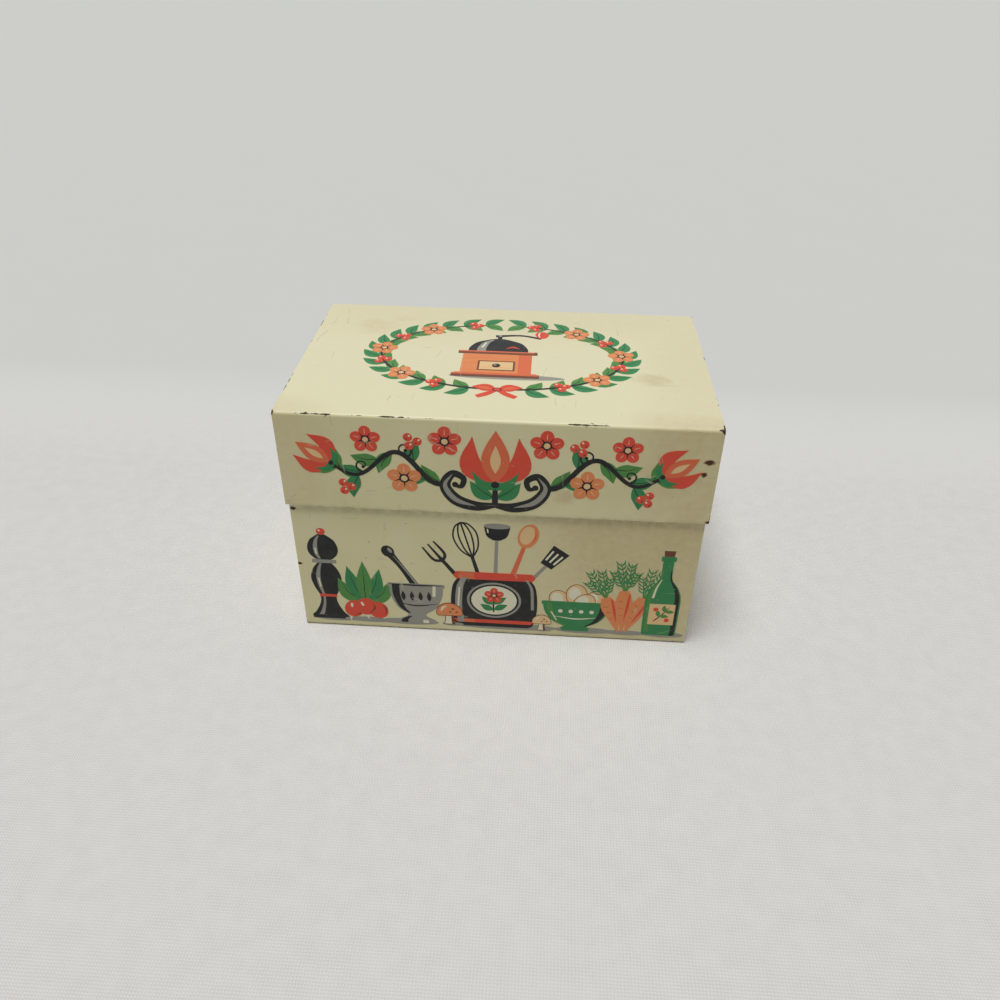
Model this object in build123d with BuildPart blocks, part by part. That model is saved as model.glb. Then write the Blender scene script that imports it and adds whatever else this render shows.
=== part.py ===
"""Hinged-lid tinplate box for 3 x 5 inch index cards, standing on its flat bottom.

The box is folded from thin printed sheet. One strip makes the front, bottom and back, and two
flanged end panels close it. The deep lid is made the same way, from a strip (front skirt, top and
back skirt) and two end panels, and drops over the walls. Free edges are hemmed inwards. Tongues of
the back wall and of the lid's back skirt are curled round two short wire pins.

X runs along the box, Y from front to back and Z up. The origin is the middle of the bottom face.
"""

import os

from build123d import *

# Outside sizes, in millimetres
lid_width = 136.0  # over the outer faces of the lid's end panels
body_depth = 85.1  # front face to back face of the body
box_height = 87.0  # floor to the top of the closed lid
skirt_drop = 34.5  # depth of the lid's front and end skirts

# Sheet and folds
sheet = 0.3  # tinplate
bend_radius = 0.7  # inside radius of the strips' four long bends
hem_height = 4.5  # how far a folded edge returns
hem_gap = 0.1  # air left inside a fold
hem_setback = 1.5  # how far a strip's hem stops short of the corner

# Body and lid together
skirt_clearance = 0.2  # air between the skirts' hems and the walls behind them
wall_lap = 9.5  # how far the walls rise inside the skirts
seam_gap = 0.1  # air between the back skirt and the rim that it rests on

# End panels
flange_width = 6.0  # flange that backs up the strip
flange_bend = 0.3  # inside radius of its bend
bend_relief = 1.3  # from a strip's bend to the ends of the flanges beside it
flange_stop = 0.5  # air between a flange's end and a hem

# Hinges
hinge_inset = 26.0  # middle of a hinge from the nearer end of the lid
knuckle_width = 7.0
knuckle_gap = 0.25  # air between neighbouring knuckles
pin_radius = 0.8
pin_clearance = 0.05  # air between the wire and a knuckle
notch_clearance = 0.4  # air between a knuckle and the notch it turns in
curl_sweep = 300.0  # degrees of wire that a tongue goes round
head_thickness = 0.5  # upset head at each end of a pin
head_overhang = 0.25  # how far a head stands out past the wire
head_gap = 0.1  # air between a head and its knuckle
head_clearance = 0.3  # air between a head and the hem beside it
head_round = 0.15  # fillet round the rim of a head

# Worked out from the sizes above
half_sheet = sheet / 2
hem_thickness = 2 * sheet + hem_gap
wall_offset = hem_thickness + skirt_clearance  # outer face of a skirt to outer face of a wall
body_width = lid_width - 2 * wall_offset
front_y = -body_depth / 2
back_y = body_depth / 2
lid_front_y = front_y - wall_offset
lid_edge_z = box_height - skirt_drop
rim_z = lid_edge_z + wall_lap
skirt_foot_z = rim_z + seam_gap  # lower edge of the lid's back skirt

strip_bend = bend_radius + half_sheet  # radius of a bend at the middle of the sheet
flange_turn = flange_bend + half_sheet
flange_setback = flange_bend + sheet  # outer radius of a flange's bend
corner_relief = bend_radius + bend_relief
fold_depth = hem_thickness / 2  # outer radius of a hem's fold
fold_radius = fold_depth - half_sheet  # the same at the middle of the sheet

hinge_offset = lid_width / 2 - hinge_inset
knuckle_bore = pin_radius + pin_clearance
knuckle_outer = knuckle_bore + sheet
curl_radius = knuckle_bore + half_sheet
hinge_y = back_y - sheet + knuckle_outer
hinge_z = rim_z + seam_gap / 2
head_radius = pin_radius + head_overhang
body_notch_z = hinge_z - knuckle_outer - notch_clearance
lid_notch_z = hinge_z + knuckle_outer + notch_clearance
knuckle_pitch = knuckle_width + knuckle_gap
hinge_half = 1.5 * knuckle_width + knuckle_gap  # half the length of one hinge
tongue_slit = head_gap + head_thickness + head_clearance  # between a tongue and the next hem
hinge_centres = (-hinge_offset, hinge_offset)


def sections_along_x(width, setback):
    """The stretches of a back edge, as (start, end) along X, that lie outside the hinges."""
    outer = width / 2 - setback
    inner = hinge_offset - hinge_half - tongue_slit
    beyond = hinge_offset + hinge_half + tongue_slit
    return ((-outer, -beyond), (-inner, inner), (beyond, outer))


def strip_section(plane, points):
    """The sheet's section along a strip whose middle line runs through the points."""
    with BuildSketch(plane) as section:
        with BuildLine():
            FilletPolyline(*points, radius=strip_bend)
        trace(line_width=sheet)
    return section.sketch


def hem_section(plane, wall, inward, start, edge):
    """A wall's edge, from start to edge, folded back on itself towards inward (+1 or -1)."""
    rise = 1 if edge > start else -1
    turn = edge - rise * fold_depth
    leaf = wall + 2 * inward * fold_radius
    with BuildSketch(plane) as section:
        with BuildLine():
            Line((wall, start), (wall, turn))
            ThreePointArc(
                (wall, turn),
                (wall + inward * fold_radius, turn + rise * fold_radius),
                (leaf, turn),
            )
            Line((leaf, turn), (leaf, edge - rise * hem_height))
        trace(line_width=sheet)
    return section.sketch


def knuckle_section(plane, start, rise):
    """A tongue that leaves the wall at start and curls outwards round the pin."""
    wall = back_y - half_sheet
    with BuildSketch(plane) as section:
        with BuildLine():
            Line((wall, start), (wall, hinge_z))
            CenterArc((hinge_y, hinge_z), curl_radius, 180, -rise * curl_sweep)
        trace(line_width=sheet)
    return section.sketch


def flange_section(plane, plate, inner, seat, outward):
    """A flange: the sheet turns from the end panel at plate towards inner, along the face at seat.

    The strip that the flange backs up lies on its outward (+1 or -1) side."""
    bed = seat - outward * half_sheet
    turn_x = plate - flange_turn
    with BuildSketch(plane) as section:
        with BuildLine():
            Line((inner, bed), (turn_x, bed))
            JernArc((turn_x, bed), (1, 0), flange_turn, -outward * 90)
        trace(line_width=sheet)
    return section.sketch


def across(y):
    """The XZ plane at y, facing the front."""
    return Plane.XZ.offset(-y)


# Body strip: front wall, bottom and back wall
with BuildPart() as body_wrap:
    front = front_y + half_sheet
    back = back_y - half_sheet
    strip = strip_section(
        Plane.YZ.offset(-body_width / 2),
        [
            (front, rim_z - fold_depth),
            (front, half_sheet),
            (back, half_sheet),
            (back, body_notch_z),
        ],
    )
    extrude(strip, amount=body_width)

    hem_start = hem_setback - body_width / 2
    hem = hem_section(Plane.YZ.offset(hem_start), front, 1, rim_z - 2 * fold_depth, rim_z)
    extrude(hem, amount=-2 * hem_start)

    for x_start, x_end in sections_along_x(body_width, hem_setback):
        hem = hem_section(Plane.YZ.offset(x_start), back, -1, body_notch_z, rim_z)
        extrude(hem, amount=x_end - x_start)

    for centre in hinge_centres:
        for side in (-1, 1):
            x_start = centre + side * knuckle_pitch - knuckle_width / 2
            tongue = knuckle_section(Plane.YZ.offset(x_start), body_notch_z, 1)
            extrude(tongue, amount=knuckle_width)

# Right end panel of the body, flanged at the front, bottom and back
with BuildPart() as body_end_right:
    plate_x = body_width / 2 - half_sheet
    flange_x = body_width / 2 - flange_width
    bottom_inner = sheet
    front_inner = front_y + sheet
    back_inner = back_y - sheet
    plate_front = front_inner + flange_setback
    plate_back = back_inner - flange_setback
    flange_top = rim_z - hem_height - flange_stop

    with BuildSketch(Plane.YZ.offset(body_width / 2 - sheet)) as plate:
        with Locations((plate_front, bottom_inner + flange_setback)):
            Rectangle(
                plate_back - plate_front,
                rim_z - fold_depth - bottom_inner - flange_setback,
                align=(Align.MIN, Align.MIN),
            )
        fillet(plate.vertices().group_by(Axis.Y)[0], radius=bend_radius)
    extrude(amount=sheet)

    hem = hem_section(across(plate_back), plate_x, -1, rim_z - 2 * fold_depth, rim_z)
    extrude(hem, amount=plate_back - plate_front)

    start = across(back_inner - corner_relief)
    flange = flange_section(start, plate_x, flange_x, bottom_inner, -1)
    extrude(flange, amount=back_inner - front_inner - 2 * corner_relief)

    flange_foot = bottom_inner + corner_relief
    for seat, outward in ((front_inner, -1), (back_inner, 1)):
        flange = flange_section(
            Plane.XY.offset(flange_foot), plate_x, flange_x, seat, outward
        )
        extrude(flange, amount=flange_top - flange_foot)

with BuildPart() as body_end_left:
    mirror(body_end_right.part, about=Plane.YZ)

# Lid strip: front skirt, top and back skirt
with BuildPart() as lid_wrap:
    front = lid_front_y + half_sheet
    top = box_height - half_sheet
    back = back_y - half_sheet
    strip = strip_section(
        Plane.YZ.offset(-lid_width / 2),
        [
            (front, lid_edge_z + fold_depth),
            (front, top),
            (back, top),
            (back, lid_notch_z),
        ],
    )
    extrude(strip, amount=lid_width)

    hem_start = hem_setback - lid_width / 2
    hem = hem_section(
        Plane.YZ.offset(hem_start), front, 1, lid_edge_z + 2 * fold_depth, lid_edge_z
    )
    extrude(hem, amount=-2 * hem_start)

    for x_start, x_end in sections_along_x(lid_width, hem_setback):
        hem = hem_section(Plane.YZ.offset(x_start), back, -1, lid_notch_z, skirt_foot_z)
        extrude(hem, amount=x_end - x_start)

    for centre in hinge_centres:
        start = Plane.YZ.offset(centre - knuckle_width / 2)
        tongue = knuckle_section(start, lid_notch_z, -1)
        extrude(tongue, amount=knuckle_width)

# Right end panel of the lid, flanged at the front, top and back
with BuildPart() as lid_end_right:
    plate_x = lid_width / 2 - half_sheet
    flange_x = lid_width / 2 - flange_width
    top_inner = box_height - sheet
    front_inner = lid_front_y + sheet
    back_inner = back_y - sheet
    plate_front = front_inner + flange_setback
    plate_back = back_inner - flange_setback
    hem_turn_z = lid_edge_z + fold_depth

    with BuildSketch(Plane.YZ.offset(lid_width / 2 - sheet)) as plate:
        with Locations((plate_front, hem_turn_z)):
            Rectangle(
                plate_back - plate_front,
                top_inner - flange_setback - hem_turn_z,
                align=(Align.MIN, Align.MIN),
            )
        fillet(plate.vertices().group_by(Axis.Y)[-1], radius=bend_radius)
        with Locations((plate_back, hem_turn_z)):  # below the back skirt the plate runs further
            Rectangle(flange_setback, skirt_foot_z - hem_turn_z, align=(Align.MIN, Align.MIN))
    extrude(amount=sheet)

    start = across(back_inner)
    hem = hem_section(start, plate_x, -1, lid_edge_z + 2 * fold_depth, lid_edge_z)
    extrude(hem, amount=back_inner - plate_front)

    start = across(back_inner - corner_relief)
    flange = flange_section(start, plate_x, flange_x, top_inner, 1)
    extrude(flange, amount=back_inner - front_inner - 2 * corner_relief)

    for seat, outward, edge_z in ((front_inner, -1, lid_edge_z), (back_inner, 1, skirt_foot_z)):
        flange_foot = edge_z + hem_height + flange_stop
        flange = flange_section(
            Plane.XY.offset(flange_foot), plate_x, flange_x, seat, outward
        )
        extrude(flange, amount=top_inner - corner_relief - flange_foot)

with BuildPart() as lid_end_left:
    mirror(lid_end_right.part, about=Plane.YZ)


def hinge_pin(centre):
    """A wire pin with an upset head at each end, lying along X."""
    shank = 2 * (hinge_half + head_gap)
    with BuildPart() as pin:
        with Locations(Location((centre, hinge_y, hinge_z), (0, 90, 0))):
            Cylinder(pin_radius, shank)
        for side in (-1, 1):
            x_head = centre + side * (shank + head_thickness) / 2
            with Locations(Location((x_head, hinge_y, hinge_z), (0, 90, 0))):
                Cylinder(head_radius, head_thickness)
        rims = pin.edges().filter_by(GeomType.CIRCLE).sort_by(Axis.X)
        fillet([rims[0], rims[-1]], radius=head_round)
    return pin


hinge_pin_left = hinge_pin(-hinge_offset)
hinge_pin_right = hinge_pin(hinge_offset)

pieces = {
    "body_wrap": body_wrap,
    "body_end_left": body_end_left,
    "body_end_right": body_end_right,
    "lid_wrap": lid_wrap,
    "lid_end_left": lid_end_left,
    "lid_end_right": lid_end_right,
    "hinge_pin_left": hinge_pin_left,
    "hinge_pin_right": hinge_pin_right,
}

os.makedirs("parts", exist_ok=True)
for name, piece in pieces.items():
    piece.part.label = name
    export_step(piece.part, f"parts/{name}.step")
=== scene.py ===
"""Dresses a hinged tin card box: printed enamel outside, bare tinplate inside, wire in the hinges.

The decoration is a generic kitchen garden: a coffee mill in a wreath on the lid, a vine along the
lid's skirt, and a row of kitchen things on the body. Each patch of colour is its own thin film of
ink, drawn in millimetres on a flat face of the tin, as spot-colour litho lays it down.
"""

from __future__ import annotations

import logging
import math
from abc import ABC, abstractmethod
from collections.abc import Iterable, Sequence
from dataclasses import dataclass, field
from enum import Enum

import bmesh
import bpy
import numpy as np
from mathutils import Matrix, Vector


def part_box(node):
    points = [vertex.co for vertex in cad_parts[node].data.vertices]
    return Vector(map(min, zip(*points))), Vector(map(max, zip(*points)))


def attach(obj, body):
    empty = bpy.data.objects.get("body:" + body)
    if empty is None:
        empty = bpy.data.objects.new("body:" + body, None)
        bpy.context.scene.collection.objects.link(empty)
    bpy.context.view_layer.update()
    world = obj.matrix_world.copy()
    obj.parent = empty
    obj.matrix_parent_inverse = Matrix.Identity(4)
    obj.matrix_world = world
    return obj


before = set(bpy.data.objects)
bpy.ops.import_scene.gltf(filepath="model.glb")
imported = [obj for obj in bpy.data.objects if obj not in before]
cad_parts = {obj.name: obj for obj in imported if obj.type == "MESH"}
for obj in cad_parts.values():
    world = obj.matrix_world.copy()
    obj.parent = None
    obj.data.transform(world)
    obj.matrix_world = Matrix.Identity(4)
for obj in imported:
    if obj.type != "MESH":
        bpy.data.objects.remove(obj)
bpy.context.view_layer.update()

MM = 0.001
Grid = np.ndarray
Point = tuple[float, float]
Point3 = tuple[float, float, float]
Socket = bpy.types.NodeSocket
Tree = bpy.types.NodeTree
Coat = tuple[Socket, float, Socket | str]

log = logging.getLogger("tin_box")


# ---------------------------------------------------------------- colour and shader nodes


def linear(code: str) -> tuple[float, float, float, float]:
    """Turns an sRGB hex colour into the linear RGBA that shader sockets take.

    Args:
        code: The colour, such as "#DDD8BA".

    Returns:
        Linear red, green and blue, and an alpha of 1.
    """
    channels = np.array([int(code[i : i + 2], 16) for i in (1, 3, 5)]) / 255
    curve = np.where(channels <= 0.04045, channels / 12.92, ((channels + 0.055) / 1.055) ** 2.4)
    return (*curve.tolist(), 1.0)


def add(
    tree: Tree, kind: str, inputs: dict | None = None, out: int | str = 0, **settings
) -> Socket:
    """Adds one node to a tree, with its settings, values and links.

    Args:
        tree: The material's or world's node tree.
        kind: Blender's name for the node type, without the "ShaderNode" in front.
        inputs: What each input takes, by name or number: a socket to link, a value, or a hex
            colour.
        out: The output to hand on, by name or number.
        **settings: The node's own properties.

    Returns:
        That output, or the node's only input where it has no outputs.
    """
    made = tree.nodes.new("ShaderNode" + kind)
    for name, value in settings.items():
        setattr(made, name, value)
    for key, value in (inputs or {}).items():
        if isinstance(value, Socket):
            tree.links.new(value, made.inputs[key])
        else:
            made.inputs[key].default_value = linear(value) if isinstance(value, str) else value
    return made.outputs[out] if made.outputs else made.inputs[0]


def strongest(tree: Tree, masks: Iterable[Socket]) -> Socket | float:
    """Joins masks into one that is as strong as the strongest of them at each spot.

    Args:
        tree: The material's node tree.
        masks: The masks.

    Returns:
        The joined mask, or 0 where there is none to join.
    """
    joined: Socket | float = 0.0
    for mask in masks:
        joined = add(tree, "Math", {0: mask, 1: joined}, operation="MAXIMUM")
    return joined


def coated(tree: Tree, colour: Socket | str, *coats: Coat) -> Socket:
    """Lays coats over a colour, each as thick as its mask times its strength.

    Args:
        tree: The material's node tree.
        colour: What lies under them.
        *coats: The mask, strength and colour of each, the lowest first.

    Returns:
        The colour that shows.
    """
    for mask, strength, over in coats:
        if strength < 1:
            mask = add(tree, "Math", {0: mask, 1: strength}, operation="MULTIPLY")
        colour = add(tree, "Mix", {0: mask, 6: colour, 7: over}, 2, data_type="RGBA")
    return colour


class Finish(ABC):
    """A surface finish, which says what its shader takes."""

    @abstractmethod
    def look(self, tree: Tree) -> dict:
        """Gives the inputs of its Principled shader."""

    def material(self, name: str) -> bpy.types.Material:
        """Makes a material of this finish.

        Args:
            name: The material's name.

        Returns:
            The material.
        """
        material = bpy.data.materials.new(name)
        material.use_nodes = True
        tree = material.node_tree
        tree.nodes.clear()
        shader = add(tree, "BsdfPrincipled", self.look(tree))
        add(tree, "OutputMaterial", {"Surface": shader})
        return material


# ---------------------------------------------------------------- the tin's sizes


@dataclass(frozen=True)
class TinSizes:
    """The faces of the tin, in metres, read from the frame."""

    half_lid: float
    half_body: float
    lid_front: float
    body_front: float
    back: float
    top: float
    lid_edge: float
    rim: float

    @classmethod
    def from_frame(cls) -> TinSizes:
        """Reads the outer faces from the boxes of the CAD nodes.

        Returns:
            The sizes.
        """
        lid_low, lid_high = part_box("lid_wrap")
        body_low, body_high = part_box("body_wrap")
        end_low, end_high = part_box("body_end_right")
        sheet = end_low[1] - body_low[1]
        return cls(
            half_lid=lid_high[0],
            half_body=body_high[0],
            lid_front=lid_low[1],
            body_front=body_low[1],
            back=end_high[1] + sheet,
            top=lid_high[2],
            lid_edge=lid_low[2],
            rim=end_high[2],
        )


# ---------------------------------------------------------------- marks and patterns of age


@dataclass(frozen=True)
class Grain:
    """A noise: how wide its features are, in millimetres, and how many finer octaves it has."""

    size: float
    detail: float

    def over(self, coords: Socket) -> dict:
        """Gives the values for a noise node laid over some coordinates."""
        return {"Vector": coords, "Scale": 1 / (self.size * MM), "Detail": self.detail}


@dataclass(frozen=True)
class Ramp:
    """A mask's rise from 0 to 1: where along some value it starts, and where it is full."""

    start: float
    full: float

    def over(self, value: Socket, unit: float = 1.0) -> dict:
        """Gives the values for a range node laid over a value, with the ramp in some unit."""
        return {0: value, 1: self.start * unit, 2: self.full * unit}


@dataclass(frozen=True)
class Blotches(Grain):
    """A noise cut to a mask: it starts at one level of the noise and is full at another."""

    start: float
    full: float
    least: float = 0.0

    def mask(self, tree: Tree, coords: Socket) -> Socket:
        """Gives the mask laid over some coordinates."""
        noise = add(tree, "TexNoise", self.over(coords))
        return add(tree, "MapRange", {0: noise, 1: self.start, 2: self.full, 3: self.least})


@dataclass(frozen=True)
class Mark:
    """A ragged mark: its middle and reach in millimetres, its edge's softness and its depth.

    It is a ramp on the distance to its middle, measured in reaches, with a noise added that is
    nearly as wide as the mark. The ramp is full at the rim and runs out an edge beyond it.
    """

    at: Point3
    reach: Point3
    edge: float = 0.5
    depth: float = 1.0
    raggedness: float = 1.6
    rim: float = 1.5

    def mask(self, tree: Tree, coords: Socket) -> Socket:
        """Gives the mark's mask.

        Args:
            tree: The material's node tree.
            coords: Object coordinates.

        Returns:
            A mask that is the mark's depth inside it.
        """
        at, reach = (tuple(c * MM for c in p) for p in (self.at, self.reach))
        away = add(tree, "VectorMath", {0: coords, 1: at}, operation="SUBTRACT")
        scaled = add(tree, "VectorMath", {0: away, 1: reach}, operation="DIVIDE")
        distance = add(tree, "VectorMath", {0: scaled}, "Value", operation="LENGTH")
        noise = add(tree, "TexNoise", Grain(0.9 * self.reach[0], 5.0).over(coords))
        uneven = {0: noise, 1: self.raggedness, 2: distance}
        uneven = add(tree, "Math", uneven, operation="MULTIPLY_ADD")
        ramp = {0: uneven, 1: self.rim + self.edge, 2: self.rim, 4: self.depth}
        return add(tree, "MapRange", ramp)


@dataclass(frozen=True)
class Band:
    """A dark band on the front and ends, of grime and painted shade: its start, fullest line and
    end, in millimetres up.
    """

    start: float
    full: float
    end: float

    def mask(self, tree: Tree, height: Socket) -> Socket:
        """Gives the band's mask, which rises to its fullest line and falls again.

        Args:
            tree: The material's node tree.
            height: How far up a spot is.

        Returns:
            A mask that is 1 on the fullest line.
        """
        rise, fall = (
            add(tree, "MapRange", Ramp(foot, self.full).over(height, MM))
            for foot in (self.start, self.end)
        )
        return add(tree, "Math", {0: rise, 1: fall}, operation="MULTIPLY")


@dataclass(frozen=True)
class Shell:
    """One folded half of the tin, as its finish needs it, in metres.

    The painted side of the sheet shows outside, and inside on the hems, between hem_low and
    hem_high.
    """

    low: Point3
    high: Point3
    hem_low: float
    hem_high: float
    # The bands and broad marks below include painted shade as well as grime and stains.
    grime_and_shade: tuple[Band, ...] = ()
    rust: tuple[Mark, ...] = ()
    stains_and_shade: tuple[Mark, ...] = ()
    rubs: tuple[Mark, ...] = ()

    @property
    def centre(self) -> Point3:
        """The middle of the shell."""
        return tuple((a + b) / 2 for a, b in zip(self.low, self.high))

    @property
    def half(self) -> Point3:
        """Half the shell's size along each axis."""
        return tuple((b - a) / 2 for a, b in zip(self.low, self.high))


@dataclass(frozen=True)
class Ageing:
    """Age marks that enamel and ink share, so that they run on from one to the other.

    Sizes are in millimetres. Scratches are the cell edges of a Voronoi pattern drawn out along
    one axis, bent by a slow noise and kept where another is high; scratch_line is the distance to
    a cell's edge, as a share of the spacing. The sheet's waviness is a noise as wide as an
    oil-canned panel's, with the grain of stoved varnish on top, drawn coarser than it is.
    """

    scratch_spacing: float = 13.0
    scratch_line: Ramp = Ramp(0.010, 0.004)
    bend: float = 9.0
    drift: Grain = Grain(25.0, 2.0)
    patch: Grain = Grain(9.0, 2.0)
    wave: Grain = Grain(34.0, 1.0)
    wave_height: float = 0.10
    grain: Grain = Grain(0.8, 1.0)
    grain_height: float = 0.006

    def scratches(self, tree: Tree, coords: Socket) -> Socket:
        """Gives the scratches: mostly upright ones in some patches, level ones in others.

        Args:
            tree: The material's node tree.
            coords: Object coordinates.

        Returns:
            A mask that is 1 along a scratch.
        """
        drift = add(tree, "TexNoise", self.drift.over(coords), "Color")
        pushed = {0: drift, 1: (self.bend * MM,) * 3, 2: coords}
        bent = add(tree, "VectorMath", pushed, operation="MULTIPLY_ADD")
        patches = add(tree, "TexNoise", self.patch.over(coords))
        hairs = []
        upright, level = (1.0, 0.09, 0.09), (0.09, 1.0, 1.0)
        for turn, stretch, where in (
            (0.3, upright, Ramp(0.60, 0.67)),
            (-0.5, level, Ramp(0.40, 0.33)),
        ):
            placed = {"Vector": bent, "Rotation": (turn, turn, turn), "Scale": stretch}
            placed = add(tree, "Mapping", placed)
            cells = {"Vector": placed, "Scale": 1 / (self.scratch_spacing * MM)}
            distance = add(tree, "TexVoronoi", cells, "Distance", feature="DISTANCE_TO_EDGE")
            line = add(tree, "MapRange", self.scratch_line.over(distance))
            kept = add(tree, "MapRange", where.over(patches))
            hairs.append(add(tree, "Math", {0: line, 1: kept}, operation="MULTIPLY"))
        return add(tree, "Math", {0: hairs[0], 1: hairs[1]}, operation="MAXIMUM")

    def surface(self, tree: Tree, coords: Socket) -> Socket:
        """Bumps the surface by the sheet's waviness and the varnish's grain.

        Args:
            tree: The material's node tree.
            coords: Object coordinates.

        Returns:
            The bumped normal.
        """
        waves = add(tree, "TexNoise", self.wave.over(coords))
        rolled = add(tree, "Bump", {"Height": waves, "Distance": self.wave_height * MM})
        grain = add(tree, "TexNoise", self.grain.over(coords))
        layers = {"Height": grain, "Distance": self.grain_height * MM, "Normal": rolled}
        return add(tree, "Bump", layers)


# ---------------------------------------------------------------- finishes


@dataclass(frozen=True)
class PrintedTinplate(Finish):
    """Tinplate, roller-coated with cream stoving enamel outside and left bare inside.

    The enamel is opaque, slightly uneven and yellowed, with a satin varnish. It is paler on top,
    as bleaching and as painted light from the lamp overhead, and darker in broad patches and in
    a band along the seam under the lid, as stains and grime and as painted shade. Where the sheet
    is folded it has chipped to the plate, which has darkened, and rust spots have bled into the
    enamel round them. Bare tin inside is soft grey metal with a dull, clouded shine. Sizes are in
    millimetres.

    Chips show where a noise, plus shares of a broader one and of the nearness of an edge, a
    corner and a rubbed spot, is high. The bands of grime and painted shade stop clean_back before
    the back wall, and the enamel ends tongue_start behind it. A piece with cut ends has the raw
    edges of its strip facing along X.
    """

    shell: Shell
    cut_ends: bool
    enamel: str = "#DED7AC"
    yellowed: str = "#D9D1A2"
    # Paler colour for the top: painted light from the overhead lamp, with some bleaching.
    bleached_and_lit: str = "#E0DAB7"
    # Colour of real stains and of painted shade in broad patches.
    stain_and_shade: str = "#B79C6C"
    # Colour of grime, specks and scratches, and of painted shade at the lid's seam.
    grime_and_shade: str = "#6E6648"
    chipped: str = "#2E2A20"
    rust: str = "#4A2F1C"
    bled: str = "#8E6336"
    cut_edge: str = "#8D876C"
    tin: str = "#C4C1B8"
    dulled_tin: str = "#A9A69D"
    enamel_roughness: float = 0.36
    chip_dulling: float = 0.25
    tin_roughness: float = 0.38
    cloud_dulling: float = 0.14
    shine: float = 0.25
    chip_metal: float = 0.35
    mottle: Blotches = Blotches(16.0, 4.0, 0.35, 0.75)
    speckle: Blotches = Blotches(2.5, 4.0, 0.3, 0.75)
    specks: Blotches = Blotches(1.4, 2.0, 0.755, 0.79)
    bloom: Blotches = Blotches(5.0, 3.0, 0.4, 0.7)
    clouds: Blotches = Blotches(7.0, 5.0, 0.35, 0.7)
    # How the painted light on top rises with the normal's upward share.
    skyward_light: Ramp = Ramp(0.3, 0.9)
    rust_halo: Ramp = Ramp(0.0, 0.6)
    rust_core: Ramp = Ramp(0.55, 0.8)
    cut_facing: Ramp = Ramp(0.5, 0.8)
    # Strength, evenness and speckle of the stains and of the broad painted shade.
    stain_and_shade_strength: float = 0.38
    stain_and_shade_evenness: float = 0.7
    stain_and_shade_speckle: float = 0.6
    dirt_and_shade_strength: float = 0.4
    # Strength of the grime bands, with their painted shade at the seam.
    speck_strength: float = 0.55
    scratch_strength: float = 0.18
    clean_back: float = 0.4
    tongue_start: float = 0.03
    fine_wear: Grain = Grain(2.2, 6.0)
    broad_wear: Grain = Grain(13.0, 2.0)
    broad_share: float = 0.9
    near_corner: Ramp = Ramp(4.0, 0.0)
    corner_share: float = 0.08
    near_edge: Ramp = Ramp(0.55, 0.1)
    edge_share: float = 0.44
    rub_share: float = 0.42
    chips: Ramp = Ramp(1.52, 1.56)
    ageing: Ageing = field(default_factory=Ageing)

    def edge_chips(self, tree: Tree, coords: Socket) -> Socket:
        """Gives the chips along the shell's folded and cut edges.

        On a box's surface, the middle one of the distances to its three pairs of faces is the
        distance to the nearest edge, and the largest is the distance to the nearest corner.

        Args:
            tree: The material's node tree.
            coords: Object coordinates.

        Returns:
            A mask that is 1 on bare plate.
        """
        shell = self.shell
        offset = add(tree, "VectorMath", {0: coords, 1: shell.centre}, operation="SUBTRACT")
        size = add(tree, "VectorMath", {0: offset}, operation="ABSOLUTE")
        room = add(tree, "VectorMath", {0: shell.half, 1: size}, operation="SUBTRACT")
        x, y, z = add(tree, "SeparateXYZ", {0: room}).node.outputs
        low = add(tree, "Math", {0: x, 1: y}, operation="MINIMUM")
        high = add(tree, "Math", {0: x, 1: y}, operation="MAXIMUM")
        inner = add(tree, "Math", {0: high, 1: z}, operation="MINIMUM")
        middle = add(tree, "Math", {0: low, 1: inner}, operation="MAXIMUM")
        largest = add(tree, "Math", {0: high, 1: z}, operation="MAXIMUM")
        worn = add(tree, "TexNoise", self.fine_wear.over(coords))
        shares = (
            (add(tree, "TexNoise", self.broad_wear.over(coords)), self.broad_share),
            (add(tree, "MapRange", self.near_corner.over(largest, MM)), self.corner_share),
            (add(tree, "MapRange", self.near_edge.over(middle, MM)), self.edge_share),
            (strongest(tree, (rub.mask(tree, coords) for rub in shell.rubs)), self.rub_share),
        )
        for share, weight in shares:
            worn = add(tree, "Math", {0: share, 1: weight, 2: worn}, operation="MULTIPLY_ADD")
        return add(tree, "MapRange", self.chips.over(worn))

    def painted_side(self, tree: Tree, coords: Socket, normal: Socket) -> Socket:
        """Gives the mask of the sheet's painted side.

        It faces away from the shell's middle, except on the hems, which fold it inwards, and on
        the hinge tongues behind the back wall, where it has worn off the curls.

        Args:
            tree: The material's node tree.
            coords: Object coordinates.
            normal: The object-space normal.

        Returns:
            A mask that is 1 where the enamel is.
        """
        shell = self.shell
        offset = add(tree, "VectorMath", {0: coords, 1: shell.centre}, operation="SUBTRACT")
        evened = add(tree, "VectorMath", {0: offset, 1: shell.half}, operation="DIVIDE")
        facing = {0: normal, 1: evened}
        facing = add(tree, "VectorMath", facing, "Value", operation="DOT_PRODUCT")
        outside = add(tree, "Math", {0: facing, 1: 0.0}, operation="GREATER_THAN")
        _, y, z = add(tree, "SeparateXYZ", {0: coords}).node.outputs
        above = add(tree, "Math", {0: z, 1: shell.hem_low}, operation="GREATER_THAN")
        below = add(tree, "Math", {0: z, 1: shell.hem_high}, operation="LESS_THAN")
        hem = add(tree, "Math", {0: above, 1: below}, operation="MULTIPLY")
        painted = add(tree, "Math", {0: outside, 1: hem}, operation="MAXIMUM")
        limit = shell.high[1] + self.tongue_start * MM
        ahead = add(tree, "Math", {0: y, 1: limit}, operation="LESS_THAN")
        return add(tree, "Math", {0: painted, 1: ahead}, operation="MULTIPLY")

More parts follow.
